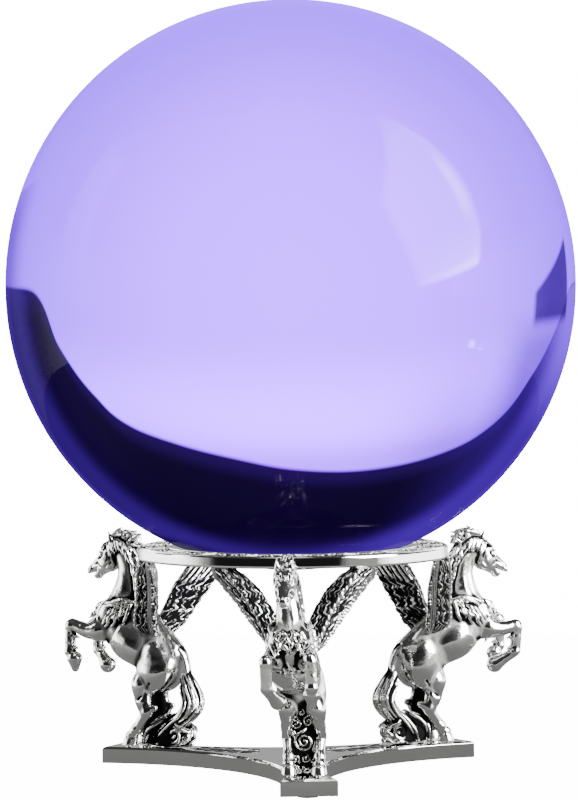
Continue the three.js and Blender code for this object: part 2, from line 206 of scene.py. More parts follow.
def nets(field, largest=True):
    """The zero surface of a field as (points, quads), by naive surface nets, facing out."""
    d, lo, h = field.d, field.lo, field.h
    s = d < 0
    c = np.zeros(np.array(d.shape) - 1, np.uint8)
    for dx in (0, 1):
        for dy in (0, 1):
            for dz in (0, 1):
                c += s[dx:d.shape[0] - 1 + dx, dy:d.shape[1] - 1 + dy, dz:d.shape[2] - 1 + dz]
    act = np.argwhere((c > 0) & (c < 8))
    idx = np.full(c.shape, -1, np.int32)
    idx[act[:, 0], act[:, 1], act[:, 2]] = np.arange(len(act))
    pos = np.zeros((len(act), 3)); cnt = np.zeros(len(act))
    corners = [(x, y, z) for x in (0, 1) for y in (0, 1) for z in (0, 1)]
    val = {o: d[act[:, 0] + o[0], act[:, 1] + o[1], act[:, 2] + o[2]].astype(float) for o in corners}
    for o in corners:
        for ax in range(3):
            if o[ax]:
                continue
            q = list(o); q[ax] = 1; q = tuple(q)
            a, b = val[o], val[q]
            m = (a < 0) != (b < 0)
            t = np.where(m, a / np.where(m, a - b, 1), 0)
            p = np.tile(np.array(o, float), (len(act), 1)); p[:, ax] = t
            pos += p * m[:, None]; cnt += m
    pos = (act + pos / np.maximum(cnt, 1)[:, None]) * h + lo
    quads = []
    for ax in range(3):
        u, v = (ax + 1) % 3, (ax + 2) % 3
        a = np.take(s, np.arange(0, d.shape[ax] - 1), axis=ax)
        b = np.take(s, np.arange(1, d.shape[ax]), axis=ax)
        e = np.argwhere(a != b)
        keep = (e[:, u] > 0) & (e[:, v] > 0) & (e[:, u] < d.shape[u] - 1) & (e[:, v] < d.shape[v] - 1)
        e = e[keep]
        inside_first = a[e[:, 0], e[:, 1], e[:, 2]]
        def cell(du, dv):
            q = e.copy(); q[:, u] += du; q[:, v] += dv
            return idx[q[:, 0], q[:, 1], q[:, 2]]
        f = np.stack([cell(-1, -1), cell(0, -1), cell(0, 0), cell(-1, 0)], 1)
        f[~inside_first] = f[~inside_first][:, ::-1]
        quads.append(f)
    quads = np.concatenate(quads)
    quads = quads[(quads >= 0).all(1)]
    if largest:
        lab = np.arange(len(pos))
        e = np.concatenate([quads[:, [0, 1]], quads[:, [1, 2]], quads[:, [2, 3]]])
        for _ in range(400):
            m = np.minimum(lab[e[:, 0]], lab[e[:, 1]])
            new = lab.copy()
            np.minimum.at(new, e[:, 0], m); np.minimum.at(new, e[:, 1], m)
            new = new[new]
            if (new == lab).all():
                break
            lab = new
        vals, n = np.unique(lab[quads[:, 0]], return_counts=True)
        best = vals[n.argmax()]
        quads = quads[lab[quads[:, 0]] == best]
        used = np.zeros(len(pos), bool); used[quads.ravel()] = True
        new_id = np.cumsum(used) - 1
        pos, quads = pos[used], new_id[quads]
    return pos, quads


def relax(pos, quads, times=1, lam=0.35, mu=-0.36):
    """Smooths a mesh without shrinking it."""
    e = np.concatenate([quads[:, [0, 1]], quads[:, [1, 2]], quads[:, [2, 3]], quads[:, [3, 0]]])
    e = np.unique(np.sort(e, 1), axis=0)
    n = np.bincount(e.ravel(), minlength=len(pos)).astype(float)[:, None]
    for _ in range(times):
        for f in (lam, mu):
            s = np.zeros_like(pos)
            np.add.at(s, e[:, 0], pos[e[:, 1]]); np.add.at(s, e[:, 1], pos[e[:, 0]])
            pos = pos + f * (s / n - pos)
    return pos

# --------------------------------------------------------- the horse castings
HIND = 1.2

def curve(points, n):
    """n points on a smooth curve through the given rows (any number of columns)."""
    p = np.array(points, float)
    m = len(p)
    t = np.linspace(0, m - 1, n)
    i = np.clip(t.astype(int), 0, m - 2); f = (t - i)[:, None]
    p0 = p[np.maximum(i - 1, 0)]; p1 = p[i]; p2 = p[i + 1]; p3 = p[np.minimum(i + 2, m - 1)]
    return 0.5 * ((2 * p1) + (-p0 + p2) * f + (2 * p0 - 5 * p1 + 4 * p2 - p3) * f ** 2 + (-p0 + 3 * p1 - 3 * p2 + p3) * f ** 3)


def horse_field(h=0.28):
    F = Field([29, -11.5, 3.6], [70.5, 12.5, 64.5], h)
    # trunk
    F.bone([41.0, 0.5, 28.2], 5.9, [50.2, 0, 34.6], 6.4, 0.5, fy=1.10)
    F.egg([54.9, 0, 37.2], [6.3, 5.3, 6.5], 2.2, tilt=-30)
    F.egg([39.9, 0.7, 27.2], [6.3, 5.4, 6.8], 2.0, tilt=20)
    F.bone([36.4, 0.5, 29.6], 3.4, [46.6, 0, 38.6], 4.0, 1.8)
    F.egg([47.6, 0, 40.2], [3.2, 3.0, 4.6], 2.0, tilt=-20)
    F.egg([52.0, 0, 30.4], [4.2, 4.2, 2.6], 1.5, tilt=35)
    for y in (-1, 1):
        F.egg([38.9, 0.9 + y * 2.7, 25.0], [4.7, 3.5, 5.6], 1.4, tilt=15)
    # neck
    F.chain([(53.4, 0, 41.0, 4.9), (52.0, -0.2, 45.5, 4.2), (51.4, -0.4, 49.5, 3.55), (51.9, -0.5, 53.0, 3.2), (53.9, -0.6, 56.2, 2.9)], 1.6, fy=1.18)
    F.chain([(57.2, 0, 40.6, 1.9), (54.2, -0.2, 45.2, 1.6), (53.1, -0.4, 49.6, 1.4), (54.6, -0.5, 53.2, 1.2)], 1.0)
    # head
    F.egg([56.8, -0.6, 55.7], [3.1, 2.6, 2.6], 1.0, tilt=-25)
    for y in (-1, 1):
        F.egg([58.6, -0.6 + y * 1.35, 53.2], [2.6, 1.25, 2.7], 0.7, tilt=-30)
    F.bone([58.8, -0.6, 55.2], 2.0, [63.4, -0.8, 51.5], 1.5, 1.0, fy=0.98)
    F.egg([64.2, -0.8, 50.7], [1.55, 1.85, 1.4], 0.7, tilt=-40)
    F.bone([64.3, -0.8, 50.2], 1.1, [64.6, -0.8, 49.7], 0.85, 0.5, fy=0.7)
    F.bone([59.3, -0.6, 52.0], 1.9, [61.9, -0.7, 50.2], 1.25, 0.8, fy=0.9)
    F.egg([62.2, -0.7, 49.4], [1.25, 1.35, 1.05], 0.5)
    # ears
    for y in (-1, 1):
        F.bone([56.2, -0.6 + y * 1.4, 57.2], 0.95, [57.0, -0.6 + y * 1.7, 59.4], 0.80, 0.5)
        F.bone([57.0, -0.6 + y * 1.7, 59.4], 0.80, [57.7, -0.6 + y * 1.9, 61.6], 0.16, 0.2)
    # hind legs
    for y in (-1, 1):
        o = HIND
        F.egg([40.6, o + y * 2.7, 24.2], [4.9, 3.0, 5.8], 1.4, tilt=25)
        F.egg([43.8, o + y * 3.6, 21.4], [2.7, 2.0, 3.1], 1.2)
        F.chain([(43.1, o + y * 3.7, 20.6, 2.9), (42.5, o + y * 4.1, 16.6, 2.35), (41.2, o + y * 4.2, 14.0, 1.75)], 0.9, fy=1.35)
        F.bone([41.0, o + y * 4.1, 14.6], 1.5, [38.9, o + y * 4.0, 15.0], 0.95, 0.8, fy=1.1)
        F.chain([(41.2, o + y * 4.15, 13.6, 1.7), (43.0, o + y * 4.05, 11.2, 1.5), (44.3, o + y * 3.95, 9.6, 1.5)], 0.7, fy=1.1)
        F.egg([44.8, o + y * 3.9, 9.0], [1.6, 1.5, 1.45], 0.6)
        F.bone([45.1, o + y * 3.9, 8.6], 1.5, [46.1, o + y * 3.85, 7.4], 1.5, 0.5)
        F.bone([46.3, o + y * 3.85, 7.0], 1.95, [46.9, o + y * 3.85, 4.2], 2.35, 0.25, fy=1.12)
    # left foreleg
    for y in (-1, 1):
        F.egg([54.9, y * 3.1, 38.0], [4.6, 2.7, 5.4], 1.5, tilt=-35)
        F.egg([57.6, y * 3.7, 35.4], [3.6, 2.6, 3.1], 1.2, tilt=10)
    F.chain([(58.4, 4.2, 35.0, 2.9), (61.4, 4.9, 34.8, 2.15), (64.2, 5.2, 35.6, 1.8), (66.2, 5.4, 36.3, 1.6)], 1.0)
    F.egg([66.8, 5.45, 36.0], [1.7, 1.65, 1.8], 0.6, tilt=-20)
    F.bone([67.0, 5.5, 35.4], 1.55, [67.0, 5.5, 29.2], 1.5, 0.4)
    F.egg([67.0, 5.5, 28.9], [1.6, 1.65, 1.3], 0.4)
    F.bone([66.8, 5.45, 28.4], 1.4, [65.9, 5.4, 27.4], 1.5, 0.4)
    F.bone([65.5, 5.4, 27.0], 2.15, [65.3, 5.35, 24.6], 1.15, 0.2)
    # right foreleg
    F.chain([(58.4, -4.2, 35.0, 2.9), (61.2, -5.0, 34.6, 2.15), (63.8, -5.4, 35.0, 1.8), (65.5, -5.6, 35.5, 1.6)], 1.0)
    F.egg([66.1, -5.6, 35.1], [1.7, 1.65, 1.9], 0.6, tilt=-20)
    F.bone([66.2, -5.7, 34.6], 1.55, [65.8, -5.8, 28.6], 1.5, 0.4)
    F.egg([65.5, -5.8, 28.3], [1.6, 1.65, 1.35], 0.4)
    F.bone([65.0, -5.6, 27.8], 1.4, [63.2, -4.9, 26.6], 1.5, 0.4)
    F.bone([62.9, -4.6, 26.4], 1.6, [60.9, -3.5, 24.9], 2.25, 0.2)
    return F


def hair(F, starts, k=0.12):
    for pts in starts:
        F.chain([tuple(p) for p in pts], k)


def muscles(F):
    """Grooves and swellings that give the bare coat its planes."""
    for y in (-1, 1):
        o = HIND
        # behind the shoulder, under the ribs, flank, thigh
        F.chain([(50.4, y * 6.6, 37.6, 0.4), (52.6, y * 6.2, 33.6, 0.5), (55.4, y * 4.8, 31.2, 0.3)], 1.6, "cut")
        F.chain([(42.6, 0.4 + y * 6.8, 31.0, 0.3), (45.2, 0.4 + y * 6.5, 27.6, 0.6), (46.0, 0.4 + y * 5.5, 25.0, 0.4)], 1.6, "cut")
        F.egg([48.6, y * 2.6, 32.0], [6.4, 4.0, 5.0], 2.2, tilt=35)
        F.egg([39.4, 0.8 + y * 3.7, 29.4], [3.0, 2.0, 3.0], 1.4, tilt=20)
        F.egg([43.4, o + y * 4.2, 20.9], [2.0, 1.8, 3.0], 0.9, tilt=10)
        F.chain([(39.6, o + y * 5.8, 21.6, 0.3), (41.4, o + y * 6.1, 18.8, 0.5), (43.2, o + y * 5.5, 17.4, 0.25)], 0.8, "cut")
        F.chain([(42.6, o + y * 5.0, 16.6, 0.35), (41.8, o + y * 4.9, 14.6, 0.3)], 0.6, "cut")
        # neck: the groove above the windpipe and the line of the jaw
        F.chain([(53.6, y * 3.6, 54.4, 0.35), (52.6, y * 3.9, 50.4, 0.6), (53.2, y * 4.4, 46.0, 0.75), (55.4, y * 4.6, 42.6, 0.4)], 1.1, "cut")
        F.chain([(57.6, -0.6 + y * 2.6, 55.8, 0.25), (57.0, -0.6 + y * 2.6, 53.6, 0.35), (58.4, -0.6 + y * 2.4, 51.8, 0.25)], 0.5, "cut")
        # shoulder into the forearm
        F.chain([(57.6, y * 6.0, 38.6, 0.3), (60.0, y * 6.6, 37.2, 0.45), (62.6, y * 6.8, 36.4, 0.2)], 0.7, "cut")
        F.chain([(58.8, y * 6.3, 32.6, 0.3), (61.6, y * 6.6, 33.2, 0.4)], 0.7, "cut")


def horse_details(F, rng):
    # mouth, nostrils, eyes
    F.bone([66.4, -0.8, 48.3], 0.85, [61.4, -0.8, 51.1], 0.26, 0.12, "cut", fy=0.2)
    for y in (-1, 1):
        F.egg([64.9, -0.8 + y * 1.35, 51.0], [0.75, 0.65, 0.5], 0.2, "cut", tilt=-40)
        F.egg([60.2, -0.6 + y * 2.0, 55.0], [1.15, 0.75, 0.85], 0.35, "cut", tilt=-35)
        F.egg([60.1, -0.6 + y * 1.75, 55.0], [0.65, 0.5, 0.5], 0.1, tilt=-35)
        F.bone([59.2, -0.6 + y * 1.9, 56.3], 0.36, [61.2, -0.6 + y * 1.6, 55.8], 0.3, 0.25)
        # ear shell
        F.bone([57.7, -0.6 + y * 1.95, 58.4], 0.38, [58.1, -0.6 + y * 2.05, 60.4], 0.14, 0.15, "cut")
        # muzzle and cheek lines
        F.bone([61.4, -0.7 + y * 1.75, 53.0], 0.3, [63.6, -0.8 + y * 1.6, 51.8], 0.22, 0.3, "cut")
        F.bone([59.6, -0.6 + y * 2.6, 51.4], 0.3, [61.0, -0.7 + y * 1.9, 52.6], 0.22, 0.3, "cut")
    # hooves: groove at the coronet
    for y in (-1, 1):
        o = HIND + y * 3.85
        for a in np.linspace(0, 2 * math.pi, 25)[:-1]:
            b = a + 2 * math.pi / 24
            F.bone([46.5 + 1.75 * math.cos(a), o + 1.5 * math.sin(a), 7.05], 0.16,
                   [46.5 + 1.75 * math.cos(b), o + 1.5 * math.sin(b), 7.05], 0.16, 0.15, "cut")


def mane(F, rng):
    """Wind-blown locks: up and back from the poll, then down both sides of the crest."""
    crest = curve([(57.4, -0.6, 58.4), (55.0, -0.6, 59.8), (52.2, -0.5, 59.2), (50.0, -0.4, 56.6), (48.7, -0.3, 53.2), (47.7, -0.1, 49.0), (47.0, 0, 45.2), (47.2, 0, 41.6)], 22)
    n = len(crest)
    for i, c in enumerate(crest):
        f = i / (n - 1)
        # the flying edge: locks that stand off the poll, and lie flatter further down
        for y in (-0.9, -0.3, 0.3, 0.9):
            fly = max(0.0, 1 - f / 0.34)
            w = 0.5 * math.sin(i * 1.7 + 2.6 * y)
            q0 = (c[0] + 0.5, c[1] + y * 0.8, c[2] - 0.3, 0.60)
            q1 = (c[0] - 0.7 + 0.2 * w, c[1] + y * 1.3 + w * 0.4, c[2] + (1.9 + 0.5 * w) * fly - 0.9 * (1 - fly), 0.56)
            q2 = (c[0] - 1.5 - 0.9 * fly + 0.5 * w, c[1] + y * 1.6 + w, c[2] + (2.9 + 1.0 * w) * fly - 2.3 * (1 - fly), 0.44)
            q3 = (c[0] - 1.3 - 2.4 * fly + 0.9 * w * (1 - fly), c[1] + y * 1.5 + w * 1.2, c[2] + (3.6 + 2.2 * w) * fly - 3.9 * (1 - fly), 0.13)
            F.chain([tuple(q) for q in curve([q0, q1, q2, q3], 9)], 0.10)
        # locks swept back over the crest, so that the sides of the neck stay bare
        for y in (-1, 1):
            L = 3.4 + 1.4 * rng.random()
            sw = 0.6 * math.sin(i * 1.9 + y)
            p = [(c[0] + 0.9, c[1] + y * 0.9, c[2] + 0.1, 0.50), (c[0] + 0.3, c[1] + y * 1.9, c[2] - L * 0.25 + 0.2 * sw, 0.55),
                 (c[0] - 0.5 - 0.4 * sw, c[1] + y * (2.6 + 0.5 * f), c[2] - L * 0.6, 0.46), (c[0] - 1.0 + 0.5 * sw, c[1] + y * (2.9 + 0.9 * f), c[2] - L, 0.15)]
            F.chain([tuple(q) for q in curve(p, 10)], 0.10)
    # long locks blown back from the poll and the upper crest
    for i in range(0, 9):
        c = crest[i]
        for j, y in enumerate((-1.2, -0.5, 0.2, 0.9)):
            w = math.sin(i * 2.3 + j * 1.9)
            L = 4.6 - 0.28 * i + 0.5 * w
            up = 2.1 - 0.12 * i + 0.5 * math.sin(i * 1.1 + j * 2.7)
            F.chain([tuple(v) for v in curve([(c[0] + 0.6, c[1] + y * 0.7, c[2] - 0.2, 0.55), (c[0] - 0.28 * L, c[1] + y * 1.1 + 0.3 * w, c[2] + up * 0.75, 0.55), (c[0] - 0.66 * L, c[1] + y * 1.4 - 0.4 * w, c[2] + up * 0.95, 0.42), (c[0] - L, c[1] + y * 1.5 + 0.5 * w, c[2] + up * (0.75 + 0.5 * w), 0.14)], 11)], 0.08)
    # forelock between the ears
    for j, y in enumerate((-1.6, -1.0, -0.4, 0.2, 0.8, 1.5)):
        w = 0.5 * math.sin(j * 2.3)
        F.chain([tuple(q) for q in curve([(56.4, -0.6 + y * 0.5, 58.6, 0.5), (58.0, -0.6 + y * 0.9 + w * 0.4, 58.6, 0.5), (59.6, -0.6 + y * 1.2 - w * 0.5, 57.5, 0.38), (60.5 + 0.4 * w, -0.6 + y * 1.1 + w, 55.9, 0.14)], 8)], 0.08)
    for y in (-1, 1):
        # the long lock that marks the base of the neck and runs to the breast
        lock(F, [(47.2, y * 3.9, 42.8, 0.5, 0.4), (50.2, y * 4.7, 43.2, 0.7, 0.6), (53.6, y * 4.8, 42.4, 0.7, 0.7), (56.9, y * 3.8, 41.6, 0.6, 0.6), (59.4, y * 2.2, 41.5, 0.5, 0.5), (61.0, y * 0.9, 41.9, 0.25, 0.25)], 4, 5.5, rng, core=0.6, thick=0.34, steps=22)
        # tufts lying over the shoulder, in two uneven layers
        for j in range(24):
            a = j * 2.4
            q = j % 12
            x0, z0 = 47.6 + 1.2 * q + 0.5 * (j // 12), 42.2 - 0.22 * q - 1.5 * (j // 12)
            dx, dz = 1.2 + 1.0 * math.sin(a), -2.6 - 1.0 * math.cos(a * 1.3)
            y0 = y * (5.3 - 0.05 * (q - 3) ** 2 + 0.5 * (j // 12))
            F.chain([tuple(v) for v in curve([(x0, y0 - y * 0.3, z0, 0.45), (x0 + dx * 0.3 + 0.5 * math.sin(a), y0 + y * 0.35, z0 + dz * 0.4, 0.52), (x0 + dx * 0.8 - 0.5 * math.sin(a), y0 + y * 0.35, z0 + dz * 0.8, 0.42), (x0 + dx + 0.6, y0 + y * 0.1, z0 + dz * 1.1, 0.16)], 8)], 0.10)
        # a fringe on the front of the shoulder above the foreleg
        for j in range(5):
            x0 = 57.2 + 0.9 * j
            F.chain([tuple(q) for q in curve([(x0 - 1.0, y * (4.3 - 0.3 * j), 40.2 - 0.5 * j, 0.5), (x0 + 0.2, y * (4.9 - 0.3 * j), 39.3 - 0.45 * j, 0.55), (x0 + 1.3, y * (4.9 - 0.3 * j), 38.6 - 0.45 * j, 0.42), (x0 + 2.1, y * (4.7 - 0.3 * j), 38.3 - 0.5 * j, 0.13)], 7)], 0.10)
    # the breast: a mat of small locks between the forelegs
    for j in range(34):
        u = ((j * 0.618) % 1.0) * 2 - 1
        z0 = 42.6 - 0.27 * j
        x0 = 60.3 + 1.3 * math.sin(math.pi * min(1, j / 18)) - 2.2 * u * u - 0.04 * j
        F.chain([tuple(q) for q in curve([(x0 - 1.0, u * 3.4, z0, 0.5), (x0 + 0.45, u * 3.9 + 0.4 * math.sin(j), z0 - 0.9, 0.58), (x0 + 0.5, u * 4.0 - 0.5 * math.sin(j), z0 - 2.1, 0.42), (x0 + 0.1, u * 4.2, z0 - 3.1, 0.13)], 7)], 0.10)
    # tufts behind the knees and fetlocks
    for (x, y, z, s) in ((65.9, 5.4, 33.2, 1.0), (66.1, 5.4, 30.2, 0.9), (66.2, 5.3, 28.2, 1.0), (65.0, -5.6, 32.4, 1.0), (65.0, -5.7, 29.6, 0.9), (64.6, -5.4, 27.8, 1.0)):
        for w in (-0.6, 0, 0.6):
            F.chain([tuple(q) for q in curve([(x + 0.6, y + w * 0.8, z + 0.5, 0.45), (x - 0.5 * s, y + w, z - 0.1, 0.42), (x - 1.6 * s, y + w * 1.2, z - 0.5, 0.14)], 5)], 0.10)

def lock(F, path, n, turn, rng, k=0.13, core=0.8, thick=0.42, steps=26, phase=None, end=0.35):
    """A lock of hair: n strands wound about a path of (x, y, z, width, depth) rows. Width is across, depth outwards."""
    c = curve(path, steps)
    t = np.gradient(c[:, :3], axis=0)
    t /= np.linalg.norm(t, axis=1)[:, None]
    side = np.cross(t, [0.0, 1.0, 0.0])
    bad = np.linalg.norm(side, axis=1) < 0.2
    side[bad] = np.cross(t[bad], [1.0, 0.0, 0.0])
    side /= np.linalg.norm(side, axis=1)[:, None]
    up = np.cross(side, t)
    if core:
        for i in range(steps - 1):
            F.bone(c[i, :3], core * min(c[i, 3], c[i, 4]), c[i + 1, :3], core * min(c[i + 1, 3], c[i + 1, 4]), 0.3)
    for j in range(n):
        a0 = (phase if phase is not None else 0) + 2 * math.pi * (j + 0.35 * rng.random()) / n
        s = np.linspace(0, 1, steps)
        a = a0 + turn * s + 0.25 * np.sin(7 * s + 3 * rng.random())
        # up holds the sideways (y) direction, side the direction in the x-z plane
        p = c[:, :3] + up * (np.cos(a) * c[:, 3])[:, None] + side * (np.sin(a) * c[:, 4])[:, None]
        r = thick * (1 - (1 - end) * s ** 3) * (0.85 + 0.3 * rng.random())
        for i in range(steps - 1):
            F.bone(p[i], r[i], p[i + 1], r[i + 1], k)


def spiral(F, c, r, turns, width, plane="xz", hand=1, start=0.0, k=0.12, tail=None):
    """A coiled lock that ends in the middle, lying in the plane named."""
    n = int(16 * turns)
    pts = []
    for i in range(n + 1):
        s = i / n
        a = start + hand * 2 * math.pi * turns * s
        q = r * (1 - 0.86 * s)
        u, v = q * math.cos(a), q * math.sin(a)
        p = (c[0] + u, c[1] + 0.5 * s, c[2] + v) if plane == "xz" else (c[0] + 0.5 * s, c[1] + u, c[2] + v)
        pts.append((*p, width * (1 - 0.35 * s)))
    if tail:
        pts = [tuple(tail)] + pts
    F.chain(pts, k)


def tail_field(h=0.27):
    F = Field([24.5, -6.5, 3.9], [46.0, 9.5, 34.0], h)
    rng = np.random.default_rng(5)
    # the dock, arched out of the croup
    F.chain([tuple(q) for q in curve([(37.6, 0.5, 31.2, 1.5), (35.0, 0.5, 31.2, 1.2), (32.6, 0.5, 29.4, 0.75), (31.4, 0.5, 26.4, 0.62), (31.1, 0.5, 23.4, 0.75), (31.6, 0.5, 20.8, 1.5)], 20)], 0.5, fy=0.5)
    # the long fall: out, in to the pinch, forward to the hocks
    lock(F, [(32.0, 0.5, 24.0, 1.5, 1.0), (30.4, 0.6, 20.4, 2.7, 1.9), (29.3, 0.7, 16.4, 3.3, 2.5), (32.2, 0.8, 12.4, 3.0, 2.0), (36.4, 1.0, 9.8, 3.4, 2.0), (39.4, 1.2, 6.8, 3.7, 2.0)], 22, 0.9, rng, core=0.74, thick=0.38, steps=30)
    lock(F, [(32.6, 0.5, 23.4, 1.0, 0.6), (30.6, 0.6, 19.2, 2.3, 1.3), (30.9, 0.7, 14.4, 2.5, 1.2), (35.2, 0.8, 11.3, 2.9, 1.2), (37.0, 1.0, 7.2, 3.3, 1.2)], 14, 1.3, rng, core=0.5, thick=0.38, steps=26, phase=0.3)
    # the lower curl, swept back out towards the middle of the stand
    lock(F, [(35.6, 0.8, 12.8, 1.6, 1.0), (34.0, 0.8, 8.6, 2.5, 1.4), (35.2, 0.9, 6.0, 2.8, 1.2), (32.6, 0.8, 5.9, 2.6, 1.2), (30.2, 0.8, 7.4, 2.2, 1.2), (29.9, 0.8, 9.4, 1.2, 0.7)], 16, 0.9, rng, core=0.62, thick=0.36, steps=28)
    for y in (-1, 1):
        # side curls and waves that show round the hocks and between the legs
        spiral(F, (33.2, 0.8 + y * 2.9, 8.0), 2.5, 1.7, 0.5, "xz", -1, 1.3, tail=(33.4, 0.8 + y * 2.4, 12.6, 0.4))
        lock(F, [(36.6, 1.0 + y * 1.6, 12.4, 0.8, 0.7), (39.0, 1.2 + y * 2.4, 11.0, 1.2, 0.9), (41.4, 1.2 + y * 2.5, 8.4, 1.3, 1.0), (42.2, 1.2 + y * 2.3, 5.4, 1.4, 0.9)], 7, 1.2, rng, core=0.7, thick=0.42, steps=18)
        lock(F, [(31.4, 0.7 + y * 2.2, 19.5, 0.5, 0.5), (29.8, 0.7 + y * 2.9, 16.4, 0.8, 0.7), (31.6, 0.8 + y * 3.0, 13.2, 0.8, 0.6), (34.6, 0.8 + y * 3.0, 10.9, 0.7, 0.6), (37.2, 0.9 + y * 3.3, 7.9, 0.8, 0.6), (38.6, 1.0 + y * 3.0, 5.2, 0.6, 0.5)], 5, 1.8, rng, core=0.5, thick=0.42, steps=24)
        lock(F, [(33.9, 0.9 + y * 2.6, 12.2, 0.5, 0.4), (32.2, 0.8 + y * 3.1, 10.2, 0.6, 0.5), (30.6, 0.8 + y * 2.6, 9.6, 0.6, 0.5), (28.9, 0.8 + y * 1.6, 9.0, 0.4, 0.4)], 4, 1.4, rng, core=0.5, thick=0.36, steps=14)
    F.egg([37.6, 1.2, 7.0], [5.8, 3.6, 3.0], 0.6)
    # the front of the fall between the legs: one large coil among small curls
    spiral(F, (43.9, 1.4, 12.8), 2.6, 2.0, 0.36, "yz", 1, 1.6, tail=(42.9, 2.6, 17.0, 0.3))
    for j, (y, z, r) in enumerate(((-0.6, 17.4, 1.3), (2.6, 17.9, 1.3), (0.9, 20.2, 1.2), (-1.7, 14.9, 0.9), (4.3, 15.2, 1.0), (-1.8, 11.0, 0.9), (4.4, 10.9, 1.0), (-1.2, 8.2, 1.2), (1.4, 8.4, 1.1), (3.9, 8.2, 1.2), (-0.9, 5.9, 0.9), (1.3, 5.9, 0.9), (3.5, 5.9, 0.9))):
        spiral(F, (43.8 - 0.04 * abs(z - 12) ** 1.3, y, z), r, 1.35, 0.30, "yz", 1 if j % 2 else -1, j * 1.7, tail=(42.8, y + 0.9 * math.sin(j * 2.0), z + 1.9, 0.28))
    F.egg([41.3, 1.3, 13.0], [2.1, 3.7, 8.2], 0.4)
    for i in range(7):
        y = -1.8 + i
        F.chain([tuple(q) for q in curve([(42.4, 1.2 + (y - 1.2) * 0.6, 13.6, 0.25), (43.0, 1.2 + (y - 1.2) * 0.9, 10.4, 0.4), (43.0, y, 7.2, 0.42), (43.3, y + 0.3 * math.sin(i * 2.0), 4.8, 0.25)], 10)], 0.12)
    # a bead at the end of the curl
    F.egg([29.6, 0.8, 5.6], [0.85, 0.85, 0.85], 0.1)
    F.bone([29.8, 0.8, 5.3], 0.5, [33.0, 0.8, 5.3], 0.9, 0.2)
    F.slab([30, 0, 4.72], [0, 0, -1], [24, -8, 3], [47, 10, 6])
    return F

# --------------------------------------------------------------------- wings
# z: (inner), (front), (outer), (hollow of the back), each (x, y) for the left wing
WING = [
    (33.6, (42.6, 0.5), (44.0, 3.0), (40.2, 3.4), (41.0, 1.4)),
    (37.0, (42.1, 1.2), (45.9, 5.6), (38.2, 7.4), (39.9, 3.6)),
    (42.5, (41.2, 3.4), (44.6, 8.0), (36.3, 11.8), (38.4, 6.8)),
    (47.0, (39.9, 5.8), (43.5, 10.2), (34.6, 15.0), (36.9, 9.8)),
    (51.6, (38.2, 9.0), (41.7, 13.5), (33.1, 18.9), (35.9, 13.4)),
    (54.0, (37.4, 11.8), (40.2, 15.4), (32.6, 20.8), (35.4, 15.6)),
    (56.1, (36.2, 14.6), (38.5, 17.0), (32.8, 21.4), (33.8, 17.0)),
]


def saw(x):
    """A feather's slope: rises over the period, then drops."""
    f = x - np.floor(x)
    return np.where(f < 0.82, f / 0.82, (1 - f) / 0.18)


